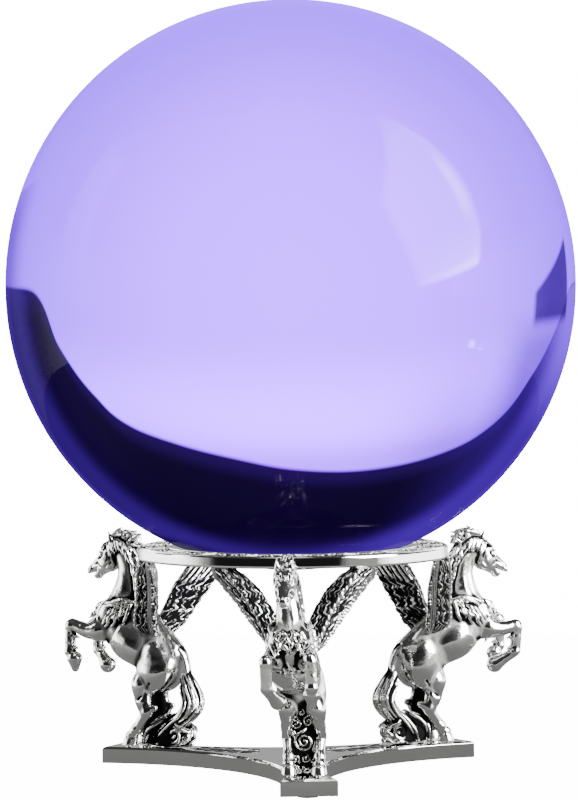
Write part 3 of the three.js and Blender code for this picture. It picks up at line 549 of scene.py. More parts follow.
def wing_mesh(side, rows=190, around=(58, 92, 66, 44)):
    """One wing as a closed mesh with its feathers cut in. side is 1 for the left wing."""
    zs = np.array([w[0] for w in WING])
    corners = np.array([[c for c in w[1:]] for w in WING], float)          # 7 x 4 x 2
    z = np.linspace(zs[0], zs[-1], rows)
    cs = np.zeros((rows, 4, 2))
    m = curve(np.concatenate([zs[:, None], corners.reshape(7, 8)], 1), 600)
    for i in range(8):
        cs[:, i // 2, i % 2] = np.interp(z, m[:, 0], m[:, 1 + i])
    n = sum(around)
    face, t = [], []
    for f, k in enumerate(around):
        face += [f] * k
        t += list(np.arange(k) / k)
    face, t = np.array(face), np.array(t)
    a, b = cs[:, face], cs[:, (face + 1) % 4]
    base = a + (b - a) * t[None, :, None]                                   # rows x n x 2
    for _ in range(22):
        base = base + 0.25 * (np.roll(base, 1, 1) + np.roll(base, -1, 1) - 2 * base)
    P = np.concatenate([base, np.broadcast_to(z[:, None, None], (rows, n, 1))], 2)
    du = np.roll(P, -1, 1) - np.roll(P, 1, 1)
    dv = np.gradient(P, axis=0)
    N = np.cross(du, dv)
    N /= np.linalg.norm(N, axis=2, keepdims=True) + 1e-9
    # the way round a section: make the normals point out
    mid = P.mean(1, keepdims=True)
    if ((P - mid) * N).sum() < 0:
        N = -N
    T = np.broadcast_to(t, (rows, n)); Z = P[..., 2]; W = np.linalg.norm(b - a, axis=2)
    H = np.zeros((rows, n))
    F0, F1, F2, F3 = (np.broadcast_to(face == i, (rows, n)) for i in range(4))
    wob = 0.35 * np.sin(Z * 1.9) + 0.2 * np.sin(Z * 4.3 + 1)
    def feathers(U, V, pu, pv, seed=0.0, ribs=0.10, long=1.3):
        """Overlapping feathers, tips towards -V: heights, and how dark each point is kept."""
        U = U + 0.22 * pu * np.sin(V * 1.7 + seed) + 0.12 * pu * np.sin(V * 3.9 + 2 * seed)
        V = V + 0.20 * pv * np.sin(U * 2.1 + seed * 1.7)
        best = np.full(U.shape, -9.0)
        ink = np.full(U.shape, 1.0)
        base_row = np.floor(V / pv)
        for k in (0, 1, 2):
            r = base_row + k
            off = np.where(r % 2 == 0, 0.0, 0.5)
            c = np.round(U / pu - off) + off
            jit = 0.16 * np.sin(r * 12.9 + c * 7.3 + seed)
            dx, dy = U / pu - c - jit, V / pv - r - 0.12 * np.sin(c * 5.1 + r * 3.7)
            body = (dx / 0.60) ** 2 + (np.minimum(dy, 0) / 0.95) ** 2
            ok = (body < 1) & (dy < long) & (best < -8)
            rim = np.exp(-((np.sqrt(body) - 0.84) / 0.13) ** 2)
            quill = np.exp(-(dx / 0.10) ** 2)
            barb = np.sin((np.abs(dx) * 2.2 - dy) * 9.0)
            lvl = 0.34 - 0.20 * k + 0.30 * rim - 0.20 * np.clip(dy, -1, 1.4) + 0.16 * quill + ribs * barb
            shade = 1.0 - 1.1 * rim - 0.5 * quill * (dy < 0.5) - 0.22 * np.clip(barb, 0, 1) - 0.35 * (np.sin(r * 4.7 + c * 9.1 + seed) > 0.55) * (dy < 0.0)
            best = np.where(ok, lvl, best)
            ink = np.where(ok, shade, ink)
        return np.where(best < -8, -0.32, best), np.clip(ink, 0, 1)
    # outer face: a twisted border, stacked short feathers, a groove, then long quills to the trailing edge
    rope = np.exp(-((T - 0.055) / 0.06) ** 2) * (0.40 + 0.22 * np.sin(Z * 4.4 + T * 60))
    stack, ink1 = feathers(T * W - 0.35 * Z, -Z, 2.3, 3.4, 0.7, ribs=0.04)
    quill = 0.30 * np.cos(2 * np.pi * (T - 0.70) * 3 / 0.30 + 0.35 * np.sin(Z * 0.9)) + 0.18 * saw((Z + T * W * 1.3) / 0.95) - 0.05
    h1 = np.where(T < 0.115, rope, np.where(T < 0.135, -0.45, np.where(T < 0.66, stack, np.where(T < 0.70, -0.5, quill))))
    H = np.where(F1, h1, H)
    # back face: round coverts low down, then long flight feathers that fan to the tip
    U = np.where(F2, T * W, 0) + np.where(F3, T * W + 7.0, 0)
    low, ink2 = feathers(U + 0.25 * Z, -Z, 3.2, 2.9, 2.1, ribs=0.02)
    ang = U + (Z - 49) * 0.35 + 0.25 * np.sin(Z * 0.8)
    long_ = 0.46 * np.abs(np.cos(np.pi * ang / 1.75)) ** 0.7 - 0.12 + 0.10 * saw((Z * 0.8 + U * 1.5) / 0.7)
    mixz = 1 / (1 + np.exp(-(Z - 49.3 + 0.12 * U) * 2.2))
    back = low * (1 - mixz) + long_ * mixz
    H = np.where(F2, back, H)
    H = np.where(F3, low * 0.9 * (1 - mixz) + long_ * mixz, H)
    # inner face: waved locks and small coverts
    h0, ink0 = feathers(T * W + 0.5 * Z, -Z, 2.2, 3.4, 4.4, ribs=0.05)
    h0 = 0.8 * h0 + 0.12 * np.sin(T * W * 3.3 + 1.1 * np.sin(Z * 1.4))
    H = np.where(F0, h0, H)
    # notched trailing edge
    edge = np.exp(-(((T + (1 - F1 * 1.0) * 0) - 1) / 0.07) ** 2) * F1 + np.exp(-(T / 0.07) ** 2) * F2
    H = H + edge * (0.42 * saw((Z + 0.3 + 0.3 * np.sin(Z * 2.3)) / 1.35) - 0.25)
    root = np.clip((Z - 33.6) / 2.5, 0.25, 1)
    H = H * root * 0.9
    for _ in range(1):
        H = H + 0.2 * (np.roll(H, 1, 1) + np.roll(H, -1, 1) - 2 * H)
    # cavity: how far the relief lies under its own average
    A = H.copy()
    for _ in range(40):
        A = A + 0.24 * (np.roll(A, 1, 1) + np.roll(A, -1, 1) - 2 * A)
        A[1:-1] = A[1:-1] + 0.24 * (A[2:] + A[:-2] - 2 * A[1:-1])
    quill_ink = 0.5 - 0.5 * np.cos(2 * np.pi * (T - 0.70) * 3 / 0.30 + 0.35 * np.sin(Z * 0.9))
    rope_ink = 0.5 - 0.5 * np.sin(Z * 4.4 + T * 60)
    ink = np.where(F1, np.where(T < 0.115, rope_ink * 0.6, np.where(T < 0.135, 1.0, np.where(T < 0.66, ink1, np.where(T < 0.70, 1.0, quill_ink)))), 0.0)
    long_ink = 1 - np.clip((long_ - 0.20) / 0.12, 0, 1)
    ink = np.where(F2 | F3, ink2 * (1 - mixz) + long_ink * mixz, ink)
    ink = np.where(F0, ink0, ink)
    cav = -0.06 + 0.50 * ink + (A - H) * 0.5
    P = P + N * H[..., None]
    pts = P.reshape(-1, 3); cav = cav.reshape(-1)
    i = np.arange(rows - 1)[:, None] * n
    j = np.arange(n)[None, :]
    q = np.stack([i + j, i + (j + 1) % n, i + n + (j + 1) % n, i + n + j], -1).reshape(-1, 4)
    # round the two ends with shrinking rings and a fan
    extra, quads, tris = [pts], [q], []
    count = len(pts)
    for end, zz in ((0, -1), (rows - 1, 1)):
        ring0 = np.arange(end * n, end * n + n)
        c = P[end].mean(0)
        prev = ring0
        for s, up in ((0.8, 0.16), (0.5, 0.26), (0.2, 0.3)):
            pr = c + (P[end] - c) * s + np.array([0, 0, zz * up])
            extra.append(pr); ids = np.arange(count, count + n); count += n
            qq = np.stack([prev, ids, np.roll(ids, -1), np.roll(prev, -1)], 1) if zz < 0 else np.stack([prev, np.roll(prev, -1), np.roll(ids, -1), ids], 1)
            quads.append(qq); prev = ids
        extra.append((c + np.array([0, 0, zz * 0.3]))[None]); tip = count; count += 1
        tr = np.stack([prev, np.full(n, tip), np.roll(prev, -1), np.roll(prev, -1)], 1) if zz < 0 else np.stack([prev, np.roll(prev, -1), np.full(n, tip), np.full(n, tip)], 1)
        tris.append(tr[:, :3])
    pts = np.concatenate(extra)
    cav = np.concatenate([cav, np.full(count - len(cav), 0.1)])
    quads = np.concatenate(quads); tris = np.concatenate(tris)
    if side < 0:
        pts = pts * np.array([1, -1, 1]); quads = quads[:, ::-1]; tris = tris[:, ::-1]
    # the section loop may run either way round: test one quad against its outward direction
    v = pts[quads[: (rows - 1) * n]]
    nn = np.cross(v[:, 1] - v[:, 0], v[:, 2] - v[:, 0])
    outw = v.mean(1) - np.repeat(pts[: rows * n].reshape(rows, n, 3).mean(1)[:-1], n, 0)
    if (nn * outw).sum() < 0:
        quads = quads[:, ::-1]; tris = tris[:, ::-1]
    faces = [tuple(r) for r in quads.tolist()] + [tuple(r) for r in tris.tolist()]
    return pts, faces, cav

# ------------------------------------------------------- ball, ring and plate
def sphere(c, r, n=72):
    """A ball of six square patches, evenly divided, one closed mesh."""
    g = np.linspace(-1, 1, n + 1)
    g = np.tan(g * math.pi / 4)
    A, B = np.meshgrid(g, g, indexing="ij")
    pts, faces, count = [], [], 0
    one = np.ones_like(A)
    for M in ((one, A, B), (-one, B, A), (B, one, A), (A, -one, B), (A, B, one), (B, A, -one)):
        p = np.stack(M, -1).reshape(-1, 3)
        p = p / np.linalg.norm(p, axis=1)[:, None]
        i = np.arange(n)[:, None] * (n + 1) + np.arange(n)[None, :]
        q = np.stack([i, i + n + 1, i + n + 2, i + 1], -1).reshape(-1, 4) + count
        pts.append(p); faces.append(q); count += len(p)
    pts, faces = np.concatenate(pts), np.concatenate(faces)
    key = np.round(pts * 1e6).astype(np.int64)
    _, first, inv = np.unique(key, axis=0, return_index=True, return_inverse=True)
    pts, faces = pts[first], inv.reshape(-1)[faces]
    v = pts[faces]
    if (np.cross(v[:, 1] - v[:, 0], v[:, 2] - v[:, 0]) * v.mean(1)).sum() < 0:
        faces = faces[:, ::-1]
    return pts * r + np.array(c), faces


def lathe(profile, n, height=None):
    """A closed ring turned about z from a closed (r, z) profile. height(theta, r, z) is added along z."""
    pr = np.array(profile, float)
    k = len(pr)
    th = np.linspace(0, 2 * math.pi, n, endpoint=False)
    R = np.broadcast_to(pr[:, 0], (n, k)); Z = np.broadcast_to(pr[:, 1], (n, k)).copy()
    TH = np.broadcast_to(th[:, None], (n, k))
    H = np.zeros((n, k)) if height is None else height(TH, R, Z)
    Z = Z + H
    pts = np.stack([R * np.cos(TH), R * np.sin(TH), Z], -1).reshape(-1, 3)
    i = np.arange(n)[:, None] * k; i2 = ((np.arange(n) + 1) % n)[:, None] * k
    j = np.arange(k)[None, :]; j2 = (j + 1) % k
    q = np.stack([i + j, i2 + j, i2 + j2, i + j2], -1).reshape(-1, 4)
    area = 0.5 * (pr[:, 0] * np.roll(pr[:, 1], -1) - np.roll(pr[:, 0], -1) * pr[:, 1]).sum()
    if area < 0:
        q = q[:, ::-1]
    return pts, q, H.reshape(-1)


def filigree(TH, R, Z):
    """Low scrolls and leaves on the ring's flange: 18 repeats, each a pair of coils with a leaf between."""
    reps = 18
    u = ((TH * reps / (2 * math.pi)) % 1.0 - 0.5) * (2 * math.pi * 36.8 / reps)
    v = R - 36.7
    H = np.zeros_like(R)
    for s in (-1, 1):
        du, dv = u - s * 3.3, v - s * 0.5
        rr = np.sqrt(du ** 2 + dv ** 2) + 1e-6
        an = np.arctan2(dv, du) * s
        coil = (rr * 0.78 - an / (2 * math.pi)) % 1.0
        H = np.maximum(H, np.exp(-((coil - 0.5) / 0.2) ** 2) * (rr < 2.75))
        H = np.maximum(H, 1.1 * np.exp(-(rr / 0.45) ** 2))
    leaf = np.exp(-((u / (0.25 + 0.26 * (1 - (v / 3.4) ** 2).clip(0))) ** 2)) * (np.abs(v) < 3.3)
    H = np.maximum(H, leaf)
    for s in (-1, 1):
        vein = np.exp(-(((np.abs(u) - 0.9 - 0.25 * s * v) / 0.22) ** 2)) * (np.abs(v) < 3.0)
        H = np.maximum(H, 0.8 * vein * (np.abs(u) < 2.4))
    border = np.exp(-((np.abs(v) - 3.55) / 0.22) ** 2)
    H = np.maximum(H, border)
    return H


def ring_mesh():
    top, bot, out = 60.0, 56.9, 41.0
    prof = []
    def line(a, b, n):
        for i in range(n):
            s = i / n
            prof.append((a[0] + (b[0] - a[0]) * s, a[1] + (b[1] - a[1]) * s))
    line((29.15, bot + 0.02), (40.55, bot + 0.02), 10)
    line((40.55, bot + 0.02), (40.88, bot + 0.14), 3)
    line((40.88, bot + 0.14), (out, bot + 0.42), 3)
    line((out, bot + 0.42), (out, top - 0.45), 8)
    line((out, top - 0.45), (40.88, top - 0.16), 3)
    line((40.88, top - 0.16), (40.6, top - 0.03), 3)
    line((40.6, top - 0.03), (32.6, top - 0.03), 84)
    line((32.6, top - 0.03), (31.1, top - 0.03), 5)
    # the seat follows the ball with a hair of clearance
    def seat(r):
        return min(top - 0.03, BALL_Z - math.sqrt(BALL_R ** 2 - r ** 2) - 0.05)
    rs = np.linspace(31.1, 29.15, 8)
    for r in rs[:-1]:
        prof.append((r, seat(r)))
    line((29.15, seat(29.15)), (29.15, bot + 0.02), 4)

    def relief(TH, R, Z):
        on = (Z > top - 0.05) & (R > 32.8) & (R < 40.5)
        f = filigree(TH, R, Z)
        edge = np.clip((R - 32.8) / 0.4, 0, 1) * np.clip((40.5 - R) / 0.3, 0, 1)
        return np.where(on, (0.42 * f - 0.22) * edge, 0.0)
    pts, q, H = lathe(prof, 1080, relief)
    r = np.hypot(pts[:, 0], pts[:, 1])
    flange = (pts[:, 2] > top - 0.4) & (r > 32.8) & (r < 40.5)
    cav = np.where(flange, 0.57 - np.clip((H + 0.22) / 0.42, 0, 1) * 0.75, -0.1)
    return pts, q, cav


def plate_outline(n_arc=64):
    """The three-armed outline with concave sides, counter-clockwise."""
    C, R, A = 74.5, 59.5, 53.8
    pts = []
    for k, arm in enumerate((30.0, 150.0, 270.0)):
        a = math.radians(arm)
        # where the arcs either side meet the flat end of this arm
        arc = math.radians(arm + 60)
        cx, cy = C * math.cos(arc), C * math.sin(arc)
        e = np.array([math.cos(a), math.sin(a)]); l = np.array([-e[1], e[0]])
        # solve |A e + s l - c| = R for s > 0
        d = A * e - np.array([cx, cy])
        b = d @ l; c0 = d @ d - R * R
        s = -b - math.sqrt(b * b - c0)
        p0 = A * e + s * l
        pts.append(A * e - s * l)
        nxt = math.radians(arm + 120)
        e2 = np.array([math.cos(nxt), math.sin(nxt)]); l2 = np.array([-e2[1], e2[0]])
        p1 = A * e2 - s * l2
        t0 = math.atan2(p0[1] - cy, p0[0] - cx); t1 = math.atan2(p1[1] - cy, p1[0] - cx)
        dt = (t1 - t0 + math.pi) % (2 * math.pi) - math.pi
        for i in range(n_arc):
            t = t0 + dt * i / n_arc
            pts.append(np.array([cx + R * math.cos(t), cy + R * math.sin(t)]))
    return np.array(pts)


def plate_mesh():
    """The base plate: flat sides, a slim bevel round the top edge and a finer one below."""
    o = plate_outline()
    n = len(o)
    e = np.roll(o, -1, 0) - o
    nn = np.stack([e[:, 1], -e[:, 0]], 1)
    nn /= np.linalg.norm(nn, axis=1)[:, None]
    n0 = np.roll(nn, 1, 0)
    bis = nn + n0
    mit = bis / (np.einsum("ij,ij->i", bis, nn)[:, None])
    rows, z0, z1 = [], PAD, PLATE_TOP
    for inset, z in ((0.22, z0), (0.06, z0 + 0.05), (0.0, z0 + 0.2), (0.0, z1 - 0.60), (0.04, z1 - 0.50), (0.42, z1 - 0.08), (0.52, z1)):
        rows.append(np.concatenate([o - mit * inset, np.full((n, 1), z)], 1))
    pts = np.concatenate(rows)
    faces = []
    for r in range(len(rows) - 1):
        for i in range(n):
            j = (i + 1) % n
            faces.append((r * n + i, r * n + j, (r + 1) * n + j, (r + 1) * n + i))
    # top and bottom: the outline filled with a grid of inner points and triangulated, so that no long thin faces are
    # left
    from mathutils.geometry import delaunay_2d_cdt
    from mathutils import Vector
    for r, up in ((len(rows) - 1, True), (0, False)):
        flat = rows[r][:, :2]
        grid = [p for p in [(x, y) for x in np.arange(-54, 55, 6.0) for y in np.arange(-54, 55, 6.0)] if inside(p, flat, 1.5)]
        vs = [Vector(p) for p in flat.tolist()] + [Vector(p) for p in grid]
        out = delaunay_2d_cdt(vs, [(i, (i + 1) % n) for i in range(n)], [list(range(n))], 1, 1e-6)
        base = len(pts)
        z = rows[r][0, 2]
        extra = [(v.x, v.y, z) for v in out[0][n:]]
        pts = np.concatenate([pts, np.array(extra).reshape(-1, 3)])
        idx = lambda i: r * n + i if i < n else base + i - n
        for f in out[2]:
            f = [idx(i) for i in f]
            a, b, c = (pts[i] for i in f[:3])
            ccw = ((b[0] - a[0]) * (c[1] - a[1]) - (b[1] - a[1]) * (c[0] - a[0])) > 0
            faces.append(tuple(f if ccw == up else f[::-1]))
    return pts, faces


def inside(p, poly, margin):
    x, y = p
    a, b = poly, np.roll(poly, -1, 0)
    cond = (a[:, 1] > y) != (b[:, 1] > y)
    xi = (b[:, 0] - a[:, 0]) * (y - a[:, 1]) / (b[:, 1] - a[:, 1] + 1e-12) + a[:, 0]
    if (cond & (x < xi)).sum() % 2 == 0:
        return False
    ab = b - a
    t = np.clip(((x - a[:, 0]) * ab[:, 0] + (y - a[:, 1]) * ab[:, 1]) / (ab ** 2).sum(1), 0, 1)
    d = np.hypot(x - a[:, 0] - t * ab[:, 0], y - a[:, 1] - t * ab[:, 1])
    return d.min() > margin


def ornament_field():
    """The low scrolls cast on the plate along one arm's root."""
    F = Field([9.0, -7.5, 3.95], [33.5, 7.5, 6.3], 0.2)
    z = 4.78
    for y in (-1, 1):
        for x, yy, r, hand, st in ((12.8, 2.2, 1.7, 1, 0.0), (16.6, 2.6, 1.5, -1, 2.6), (20.6, 2.4, 1.5, 1, 0.4), (24.4, 2.2, 1.4, -1, 2.8)):
            n = 22
            p = []
            for i in range(n + 1):
                s = i / n
                a = st + hand * 2 * math.pi * 1.35 * s
                q = r * (1 - 0.8 * s)
                p.append((x + q * math.cos(a), y * (yy + q * math.sin(a)), z, 0.34 * (1 - 0.3 * s)))
            F.chain(p, 0.08)
        F.chain([tuple(q) for q in curve([(10.6, 0.4 * y, z, 0.25), (14.6, 0.6 * y, z, 0.42), (18.6, 0.5 * y, z, 0.38), (23.0, 0.6 * y, z, 0.36), (27.6, 0.2 * y, z, 0.2)], 20)], 0.1)
        F.chain([tuple(q) for q in curve([(24.0, 0.6 * y, z, 0.3), (27.0, 2.2 * y, z, 0.34), (29.6, 1.2 * y, z, 0.18)], 10)], 0.1)
    F.egg([19.0, 0, 4.62], [10.5, 4.2, 0.34], 0.05)
    F.egg([11.0, 0, z], [0.8, 0.8, 0.45], 0.1)
    F.egg([28.3, 0, z], [0.7, 0.7, 0.45], 0.1)
    return F


def screw_mesh():
    """An M3 cap screw seen from below: chamfered head with a six-sided socket, and a shank. Head at z 0 to 2."""
    n = 48
    rows = [(0.0, -1, None)]
    pts, faces = [], []
    def ring(r, z, six=False):
        i0 = len(pts)
        for i in range(n):
            a = 2 * math.pi * i / n
            q = r
            if six:
                b = (a + math.pi / 6) % (math.pi / 3) - math.pi / 6
                q = r / math.cos(b)
            pts.append((q * math.cos(a), q * math.sin(a), z))
        return i0
    loops = [ring(1.25, 1.25, True), ring(1.25, 0.08, True), ring(1.62, 0.0), ring(2.45, 0.0), ring(2.72, 0.22), ring(2.72, 1.97), ring(1.5, 1.97), ring(1.47, 9.6), ring(1.1, 9.95)]
    pts.append((0, 0, 1.45)); c0 = len(pts) - 1
    pts.append((0, 0, 9.95)); c1 = len(pts) - 1
    for a, b in zip(loops, loops[1:]):
        for i in range(n):
            j = (i + 1) % n
            faces.append((a + i, a + j, b + j, b + i))
    for i in range(n):
        j = (i + 1) % n
        faces.append((loops[0] + j, loops[0] + i, c0))
        faces.append((loops[-1] + i, loops[-1] + j, c1))
    return np.array(pts), faces

# ------------------------------------------------------------------- shaders
class S:
    """A number inside a node tree; arithmetic on it adds Math nodes."""

    def __init__(self, tree, socket):
        self.tree, self.socket = tree, socket

    def math(self, op, *more):
        n = self.tree.nodes.new("ShaderNodeMath")
        n.operation = op
        for i, v in enumerate((self,) + more):
            if isinstance(v, S):
                self.tree.links.new(v.socket, n.inputs[i])
            else:
                n.inputs[i].default_value = float(v)
        return S(self.tree, n.outputs[0])

    def __add__(self, o): return self.math("ADD", o)
    def __sub__(self, o): return self.math("SUBTRACT", o)
    def __mul__(self, o): return self.math("MULTIPLY", o)
    def __truediv__(self, o): return self.math("DIVIDE", o)
    __radd__ = __add__
    __rmul__ = __mul__
    def __rsub__(self, o): return self.math("MULTIPLY", -1).math("ADD", o)
    def __neg__(self): return self.math("MULTIPLY", -1)
    def pow(self, p): return self.math("POWER", p)
    def abs(self): return self.math("ABSOLUTE")
    def min(self, o): return self.math("MINIMUM", o)
    def max(self, o): return self.math("MAXIMUM", o)

    def step(self, a, b):
        """0 below a and 1 above b, smooth between. a may be above b."""
        n = self.tree.nodes.new("ShaderNodeMapRange")
        n.interpolation_type = "SMOOTHSTEP"
        self.tree.links.new(self.socket, n.inputs["Value"])
        lo, hi = (a, b) if a < b else (b, a)
        n.inputs["From Min"].default_value, n.inputs["From Max"].default_value = lo, hi
        n.inputs["To Min"].default_value, n.inputs["To Max"].default_value = (0, 1) if a < b else (1, 0)
        return S(self.tree, n.outputs["Result"])

    def curve(self, *points):
        """A smooth curve through (x, y) points, all between 0 and 1."""
        n = self.tree.nodes.new("ShaderNodeFloatCurve")
        self.tree.links.new(self.socket, n.inputs["Value"])
        c = n.mapping.curves[0]
        c.points[0].location, c.points[-1].location = points[0], points[-1]
        for p in points[1:-1]:
            c.points.new(*p)
        n.mapping.update()
        return S(self.tree, n.outputs["Value"])

    def ramp(self, *stops):
        """A colour ramp with stops (position, (r, g, b))."""
        n = self.tree.nodes.new("ShaderNodeValToRGB")
        self.tree.links.new(self.socket, n.inputs[0])
        e = n.color_ramp.elements
        while len(e) < len(stops):
            e.new(0.5)
        for i, (p, c) in enumerate(stops):
            e[i].position = p
            e[i].color = (*c, 1)
        return n.outputs["Color"]


def node(tree, kind, **values):
    n = tree.nodes.new(kind)
    for k, v in values.items():
        if k in n.inputs:
            if isinstance(v, S):
                tree.links.new(v.socket, n.inputs[k])
            elif isinstance(v, bpy.types.NodeSocket):
                tree.links.new(v, n.inputs[k])
            else:
                n.inputs[k].default_value = v
        else:
            setattr(n, k, v)
    return n


def new_material(name):
    m = bpy.data.materials.new(name)
    m.use_nodes = True
    m.node_tree.nodes.clear()
    out = m.node_tree.nodes.new("ShaderNodeOutputMaterial")
    return m, m.node_tree, out


def noise(tree, scale, detail=3.0, rough=0.5, vec=None):
    co = tree.nodes.new("ShaderNodeTexCoord").outputs["Object"] if vec is None else vec
    n = node(tree, "ShaderNodeTexNoise", Vector=co, Scale=scale, Detail=detail, Roughness=rough)
    return S(tree, n.outputs[0])


def chrome(name, black=1.0, tone=(0.80, 0.80, 0.785), rough=0.045, attribute=True, base=0.0, wave=0.0):
    """Polished plate with black left in the recesses. The recesses come from the mesh's own cavity layer."""
    m, t, out = new_material(name)
    fine = noise(t, 900.0, 2.0)
    broad = noise(t, 60.0, 4.0)
    if attribute:
        a = node(t, "ShaderNodeAttribute", attribute_name="cavity")
        cav = S(t, a.outputs["Fac"])
    else:
        cav = (broad - 0.5) * 0.1
    mask = ((cav + (broad - 0.5) * 0.12 + base).step(0.05, 0.34) * black).min(1.0)
    mix = node(t, "ShaderNodeMix", data_type="RGBA")
    t.links.new(mask.socket, mix.inputs["Factor"])
    shade = (broad.step(0.25, 0.8)).ramp((0.0, tuple(c * 0.93 for c in tone)), (1.0, tone))
    t.links.new(shade, mix.inputs["A"])
    mix.inputs["B"].default_value = (0.006, 0.006, 0.006, 1)
    ro = rough + mask * 0.33 + (fine - 0.5).abs() * 0.05
    bump = node(t, "ShaderNodeBump", Strength=0.05, Distance=0.0002, Height=fine)
    if wave:
        soft = noise(t, 330.0, 2.0, 0.4)
        hand = node(t, "ShaderNodeBump", Strength=wave, Distance=0.0005, Height=soft)
        t.links.new(hand.outputs["Normal"], bump.inputs["Normal"])
    # the black is a matt lacquer in the recesses, not a dark metal
    p = node(t, "ShaderNodeBsdfPrincipled", Metallic=1 - mask, Roughness=ro, Normal=bump.outputs["Normal"])
    p.inputs["Specular IOR Level"].default_value = 0.0
    t.links.new(mix.outputs["Result"], p.inputs["Base Color"])
    t.links.new(p.outputs[0], out.inputs["Surface"])
    return m

# --------------------------------------------------------- world, floor, view
def build_world():
    w = bpy.data.worlds.new("studio")
    bpy.context.scene.world = w
    w.use_nodes = True
    t = w.node_tree
    t.nodes.clear()
    out = t.nodes.new("ShaderNodeOutputWorld")
    co = t.nodes.new("ShaderNodeTexCoord")
    sep = t.nodes.new("ShaderNodeSeparateXYZ")
    t.links.new(co.outputs["Generated"], sep.inputs[0])
    X, Y, Z = (S(t, sep.outputs[i]) for i in range(3))
    # forward is away from the camera, right is the picture's right
    ca, sa = math.cos(0.069), math.sin(0.069)
    F = X * sa + Y * ca
    R = X * ca - Y * sa
    deg = 180 / math.pi
    el = Z.max(-1).min(1).math("ARCSINE") * deg
    az = R.math("ARCTAN2", F) * deg              # 0 straight behind the object, + to the right
    ac = R.math("ARCTAN2", -F) * deg             # 0 towards the camera, + to the right

    def box(v, lo, hi, soft):
        return v.step(lo - soft, lo + soft) * v.step(hi + soft, hi - soft)

    # a bright backdrop with a curved upper edge, and bright walls on the camera's side
    side = az * az.abs().step(165, 110)
    shape = ((-80, 0), (-72, 0.6), (-64, 4.8), (-50, 15.6), (-38, 24.4), (-29, 26.7), (-14, 27.6), (-1, 26.5), (9, 24.5), (18, 22.9), (27, 21.0), (34, 16.6), (42, 9.2), (51, 0.6), (58, 0), (80, 0))
    edge = ((az + 80) / 160).max(0).min(1).curve(*(((a + 80) / 160, b / 30) for a, b in shape)) * 30
    edge = edge.max(az.abs().step(98, 132) * 27.5)
    back = (edge - el).step(-0.5, 0.7)

    # what the ball shows through itself
    glow = 1.0 + 0.3 * el.step(-20, -50) + 0.6 * el.step(5, 18) - 0.62 * el.step(19, 26)
    fall = 1 - 0.55 * side.step(54, 74) * el.step(-30, -10)
    fall = fall * (1 - 0.30 * side.step(-10, -28) * el.step(8, 20)) * (1 - 0.60 * side.step(-31, -46) * el.step(2, 12))
    through = back * glow * fall * CLEAR
    dark = 0.045 + 0.09 * (el - edge).step(5, 1) + 0.09 * el.step(44, 58) + 0.03 * side.step(22, 46)
    dark = dark + 0.30 * side.step(-18, -52) + 3.4 * side.step(-47, -74) * el.step(32, 6)
    rim = F.step(0.64, 0.46) * (0.31 + 0.18 * side.step(10, -40)) * (1 - side.step(20, 50) * el.step(56, 63))
    dark = dark + rim + 0.42 * F.step(0.30, 0.18) * el.step(60, 45)
    through = through.max(dark * (1 - back))
    wedge = (el - 0.46 * (az + 70) + 10.5).step(-0.6, 0.8) * box(az, -67, -45, 1.2) * el.step(8, 5)
    through = through * (1 - 0.87 * wedge)

    # what the metal mirrors: a bright high backdrop, grey low down behind, white at both sides
    rear = (27.5 * (1 - ((az + 8).abs() / 62).min(1.0).pow(3.2)) - el).step(-0.6, 0.9) * box(az, -68, 52, 1.5)
    level = rear * (0.075 + 0.925 * el.step(9, 15)) * WHITE * 0.75
    low = el.step(14, 6)
    sides = ac.step(-63, -98).max(ac.step(62, 84)) * ac.abs().step(168, 138)
    level = level.max(low * sides * WHITE * 0.7)
    # the camera's side of the room: a mid grey wall under a dark ceiling, with a dark patch where the camera stands
    wall = (0.35 + 0.65 * el.step(-62, -6)) * el.step(26, 4) * ac.abs().step(128, 100)
    patch = box(ac, -63, 38, 5) * box(el, -16, 24, 6)
    level = level.max(wall * GREY * (1 - patch * 0.97))
    level = level.max(el.step(8, 34) * 0.055)
    # strip lights: two uprights and a wide one high up behind the camera
    level = level.max(box(ac, 66, 84, 3) * box(el, -4, 34, 2) * WHITE * 1.1)
    level = level.max(box(ac, -106, -90, 3) * box(el, -4, 38, 3) * WHITE * 0.9)
    level = level.max(box(ac, -40, 24, 6) * box(el, 58, 79, 2) * WHITE * 0.42)
    # the window seen in the ball: a sail with a bowed right edge and a low point at the right
    right = (el - 30) * (el - 30) * (-0.012) + 88
    left = 40 + (el - 30).abs().pow(1.3) * 0.32 * (el - 30).step(-1, 1) + (30 - el).max(0) * 0.35
    foot = (ac - 52) * 0.24 - 1.5
    sail = (right - ac).step(-0.8, 2.5) * (ac - left).step(-2.5, 5) * (el - foot).step(-0.4, 2.0) * el.step(66, 48)
    glare = (ac - 58).step(-14, 22) * (el - foot).step(16, 2)
    streak = box(ac - right, -9, -4, 2) * box(el, 22, 40, 5)
    level = level.max(sail * (0.30 + 0.75 * glare * (0.4 + (el - foot).step(4.5, 1.5)) + 0.5 * streak) * SAIL)
    level = level.max(box(ac, 84, 87, 0.8) * box(el, -26, -19, 1.0) * SAIL * 1.2)
    level = level.max(box(ac, 79, 82, 0.8) * box(el, -21, -17, 1.0) * SAIL * 0.8)
    level = level.max(0.010)
    lp = t.nodes.new("ShaderNodeLightPath")
    cam = S(t, lp.outputs["Is Camera Ray"])
    trans = S(t, lp.outputs["Is Transmission Ray"])
    matt = S(t, lp.outputs["Is Diffuse Ray"])
    strength = cam * 16.0 + (1 - cam) * (trans * through + (1 - trans) * level * (1 - matt * 0.75))
    bg = t.nodes.new("ShaderNodeBackground")
    bg.inputs["Color"].default_value = (1, 1, 1, 1)
    t.links.new(strength.socket, bg.inputs["Strength"])
    t.links.new(bg.outputs[0], out.inputs["Surface"])


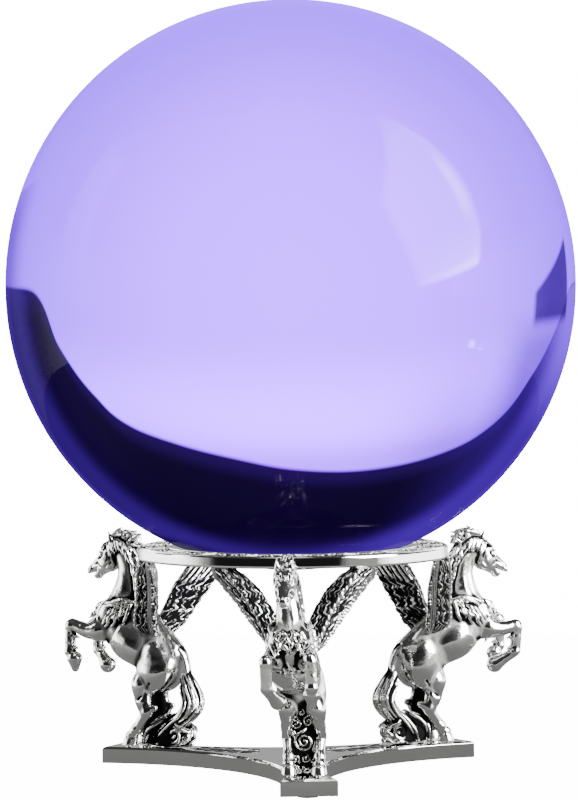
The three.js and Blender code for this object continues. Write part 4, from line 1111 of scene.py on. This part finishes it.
def build_floor():
    """A plain pale floor that glows instead of being lit, evenly white to the camera. Its glow changes softly from 50
    to 200 mm out: in what the metal mirrors it is darker near the stand, a painted contact shade, and seen through the
    ball it is brighter near the stand, painted light.
    """
    n, pts, faces = 96, [(0, 0, 0)], []
    radii = (80.0, 160.0, 260.0, 380.0)
    for r in radii:
        for i in range(n):
            a = 2 * math.pi * i / n
            pts.append((r * math.cos(a), r * math.sin(a), -0.02))
    for i in range(n):
        j = (i + 1) % n
        faces.append((0, 1 + i, 1 + j))
        for k in range(len(radii) - 1):
            a, b = 1 + k * n, 1 + (k + 1) * n
            faces.append((a + i, b + i, b + j, a + j))
    m, t, out = new_material("pale_floor")
    lp = t.nodes.new("ShaderNodeLightPath")
    glossy = S(t, lp.outputs["Is Glossy Ray"])
    cam = S(t, lp.outputs["Is Camera Ray"])
    trans = S(t, lp.outputs["Is Transmission Ray"])
    tone = noise(t, 3.0, 2.0)
    where = t.nodes.new("ShaderNodeSeparateXYZ")
    t.links.new(t.nodes.new("ShaderNodeTexCoord").outputs["Object"], where.inputs[0])
    px, py = S(t, where.outputs[0]), S(t, where.outputs[1])
    reach = (px * px + py * py).pow(0.5).step(0.05, 0.2)
    see = cam.max(trans)
    # painted shade and light: mirrored in the metal the floor is darker near the stand, a painted contact shade; seen
    # through the ball it is painted brighter near the stand
    strength = cam * 15.0 + (1 - cam) * trans * (CLEAR * (1.28 - 0.28 * reach)) + (1 - see) * glossy * (0.23 + 0.28 * reach) * (0.85 + 0.3 * tone) + (1 - see) * (1 - glossy) * 0.5
    em = t.nodes.new("ShaderNodeEmission")
    em.inputs["Color"].default_value = (1, 1, 1, 1)
    t.links.new(strength.socket, em.inputs["Strength"])
    t.links.new(em.outputs[0], out.inputs["Surface"])
    ob = make("floor", pts, faces, m, smooth=False)


def build_camera():
    cam = bpy.data.cameras.new("camera")
    ob = bpy.data.objects.new("camera", cam)
    bpy.context.scene.collection.objects.link(ob)
    cam.sensor_width = 36.0
    cam.lens = CAM_LENS
    from mathutils import Matrix, Vector
    a = 0.069
    back = Vector((-math.sin(a), -math.cos(a), 0))
    pos = back * CAM_D + Vector((0, 0, CAM_H))
    tilt, roll, pan = CAM_TILT, CAM_ROLL, CAM_PAN
    f = Vector((math.sin(a + pan) * math.cos(tilt), math.cos(a + pan) * math.cos(tilt), -math.sin(tilt)))
    r = f.cross(Vector((0, 0, 1))).normalized()
    u = r.cross(f)
    r2 = r * math.cos(roll) + u * math.sin(roll)
    u2 = u * math.cos(roll) - r * math.sin(roll)
    m = Matrix((r2, u2, -f)).transposed().to_4x4()
    m.translation = pos * MM
    ob.matrix_world = m
    cam.clip_start, cam.clip_end = 0.01, 20
    bpy.context.scene.camera = ob

# --------------------------------------------------------------------- build
WING_SET = {"front": (-1.2, 0.0), "left": (-3.0, -0.3), "right": (0.0, -3.0)}
WHITE, GREY, SAIL, CLEAR = 8.0, 0.42, 112.0, 7.3
CAM_LENS, CAM_D, CAM_H = 184.5, 1080.0, 138.56
CAM_TILT, CAM_ROLL, CAM_PAN = math.radians(2.13), -0.0075, -0.0006


def glass():
    """Tinted crystal: the violet tint is the glass's own, and its darkening from pale lavender face-on to deeper violet
    towards the edge of the ball is painted shade.
    """
    m, t, out = new_material("ball_glass")
    lw = node(t, "ShaderNodeLayerWeight", Blend=0.5)
    face = S(t, lw.outputs["Facing"])
    haze = noise(t, 14.0, 3.0)
    # painted shade: the tint ramp darkens from the middle of the ball towards its rim
    stops = ((0.0, (0.20, 0.0025, 1.0)), (0.12, (0.170, 0.0022, 0.86)), (0.27, (0.120, 0.002, 0.67)), (0.42, (0.082, 0.002, 0.52)),
             (0.58, (0.064, 0.002, 0.46)), (0.80, (0.048, 0.0015, 0.34)), (1.0, (0.034, 0.001, 0.24)))
    tone = face + (haze - 0.5) * 0.02
    col = tone.ramp(*stops)
    root = tone.ramp(*((p, tuple(v ** 0.5 for v in c)) for p, c in stops))
    p = node(t, "ShaderNodeBsdfPrincipled", Roughness=0.0, IOR=1.5)
    p.inputs["Transmission Weight"].default_value = 1.0
    t.links.new(col, p.inputs["Base Color"])
    # the polish is faint: most light passes straight in, and the mirror image keeps a quarter of its strength
    body = node(t, "ShaderNodeBsdfRefraction", Roughness=0.0, IOR=1.5)
    t.links.new(root, body.inputs["Color"])
    inside = S(t, t.nodes.new("ShaderNodeNewGeometry").outputs["Backfacing"])
    edge = node(t, "ShaderNodeMixShader", Fac=(0.82 + 0.16 * face.step(0.28, 0.62)).max(inside))
    t.links.new(p.outputs[0], edge.inputs[1])
    t.links.new(body.outputs[0], edge.inputs[2])
    tr = t.nodes.new("ShaderNodeBsdfTransparent")
    tr.inputs["Color"].default_value = (0.85, 0.83, 0.9, 1)
    lp = t.nodes.new("ShaderNodeLightPath")
    mix = t.nodes.new("ShaderNodeMixShader")
    t.links.new(lp.outputs["Is Shadow Ray"], mix.inputs[0])
    t.links.new(edge.outputs[0], mix.inputs[1])
    t.links.new(tr.outputs[0], mix.inputs[2])
    t.links.new(mix.outputs[0], out.inputs["Surface"])
    return m


def felt():
    m, t, out = new_material("pad_felt")
    f = noise(t, 1800.0, 4.0, 0.7)
    col = f.ramp((0.3, (0.012, 0.012, 0.014)), (0.8, (0.05, 0.05, 0.055)))
    b = node(t, "ShaderNodeBump", Strength=0.6, Distance=0.0002, Height=f)
    p = node(t, "ShaderNodeBsdfPrincipled", Roughness=0.95, Normal=b.outputs["Normal"])
    t.links.new(col, p.inputs["Base Color"])
    t.links.new(p.outputs[0], out.inputs["Surface"])
    return m


def cavity_of(field, pts):
    """How recessed each point is, from the share of solid around it at two sizes."""
    occ = np.clip(0.5 - field.d / (2 * field.h), 0, 1).astype(np.float32)
    a = sample(blur(occ, max(1, int(round(0.45 / field.h)))), field.lo, field.h, pts) - 0.5
    b = sample(blur(occ, max(2, int(round(1.5 / field.h)))), field.lo, field.h, pts) - 0.5
    return 2.6 * a + 1.5 * b


def shares(cav, bright):
    """Moves a cavity layer so that this share of the points stays bright."""
    return (cav - np.quantile(cav, bright)) * 2.0 + 0.05


def build():
    mats = {
        "ball_glass": glass(),
        "polished_chrome": chrome("polished_chrome", base=0.0, rough=0.05, wave=0.06),
        "antiqued_chrome": chrome("antiqued_chrome", base=0.17, rough=0.13, wave=0.42),
        "hair_chrome": chrome("hair_chrome", base=0.02, rough=0.08, wave=0.2),
        "feather_chrome": chrome("feather_chrome", base=0.07, rough=0.07, wave=0.45),
        "fastener_steel": chrome("fastener_steel", black=0.5, attribute=False, rough=0.22, tone=(0.55, 0.55, 0.54)),
        "pad_felt": felt(),
    }
    # CAD nodes that stay shown take a finish of their own slot
    for name, ob in NODES.items():
        kind = "pad_felt" if name.startswith("foot_pad") else "ball_glass" if name == "crystal_ball" else "fastener_steel" if ("pin" in name or "screw" in name) else "antiqued_chrome"
        ob.data.materials.clear()
        ob.data.materials.append(mats[kind])

    p, q = sphere((0, 0, BALL_Z), BALL_R - 0.001)
    ball = make("ball_polished", p, q, mats["ball_glass"])
    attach(ball, "ball"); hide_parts("crystal_ball")
    ball.visible_glossy = False
    ball.visible_diffuse = False

    p, q, cav = ring_mesh()
    ring = make("support_ring_filigree", p, q, mats["polished_chrome"], cavity=cav)
    ring.visible_transmission = False
    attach(ring, "stand"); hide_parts("support_ring")

    p, q = plate_mesh()
    OF = ornament_field()
    op, oq = nets(OF, largest=False)
    op = relax(op, oq, 1)
    ocav = np.clip(shares(-op[:, 2], 0.012), -0.2, 0.5)
    pts, faces, cav = [p], list(q), [np.full(len(p), -0.1)]
    count = len(p)
    for arm in ARMS.values():
        a = math.radians(arm)
        M = np.array([[math.cos(a), -math.sin(a), 0], [math.sin(a), math.cos(a), 0], [0, 0, 1]])
        pts.append(op @ M.T); cav.append(ocav)
        faces += [tuple(r) for r in (oq + count).tolist()]
        count += len(op)
    plate = make("base_plate_beveled", np.concatenate(pts), faces, mats["polished_chrome"], smooth=False, cavity=np.concatenate(cav))
    plate.visible_transmission = False
    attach(plate, "stand"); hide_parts("base_plate")

    # the horses
    F = horse_field(H_BODY)
    rng = np.random.default_rng(3)
    muscles(F)
    mane(F, rng)
    horse_details(F, rng)
    F.slab([47, 0, 4.72], [0, 0, -1], [29, -12, 3], [71, 13, 6])
    hp, hq = nets(F)
    hcav = cavity_of(F, hp)
    hp = relax(hp, hq, 2)
    TF = tail_field(H_TAIL)
    tp, tq = nets(TF)
    tcav = shares(cavity_of(TF, tp), 0.27)
    tp = relax(tp, tq, 1)
    wings = {"left": wing_mesh(1), "right": wing_mesh(-1)}
    print("faces", len(hq), len(tq), len(wings["left"][1]))
    for name, arm in ARMS.items():
        bow = np.clip((hp[:, 2] - 47.0) / 13.0, 0, 1)[:, None] * np.array([0.0, 0.0, -1.6 if name == "front" else 0.0])
        ob = make(f"horse_{name}_casting", place(hp + bow, arm), hq, mats["antiqued_chrome"], cavity=hcav)
        ob.visible_transmission = False
        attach(ob, "stand"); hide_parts(f"pegasus_{name}_body")
        ob = make(f"tail_{name}_casting", place(tp, arm), tq, mats["hair_chrome"], cavity=tcav)
        ob.visible_transmission = False
        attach(ob, "stand"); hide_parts(f"pegasus_{name}_tail")
        for side, (wp, wf, wc) in wings.items():
            dx, dy = WING_SET[name] if side == "left" else (0.0, 0.0)
            up = np.clip((wp[:, 2] - 33.6) / 22.5, 0, 1)[:, None]
            wp = wp + up * np.array([dx, dy, 0.0])
            ob = make(f"wing_{name}_{side}_casting", place(wp, arm), wf, mats["feather_chrome"], cavity=wc)
            ob.visible_transmission = False
            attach(ob, "stand"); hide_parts(f"pegasus_{name}_wing_{side}")
    build_world()
    build_floor()
    build_camera()


H_BODY, H_TAIL = 0.24, 0.24
build()
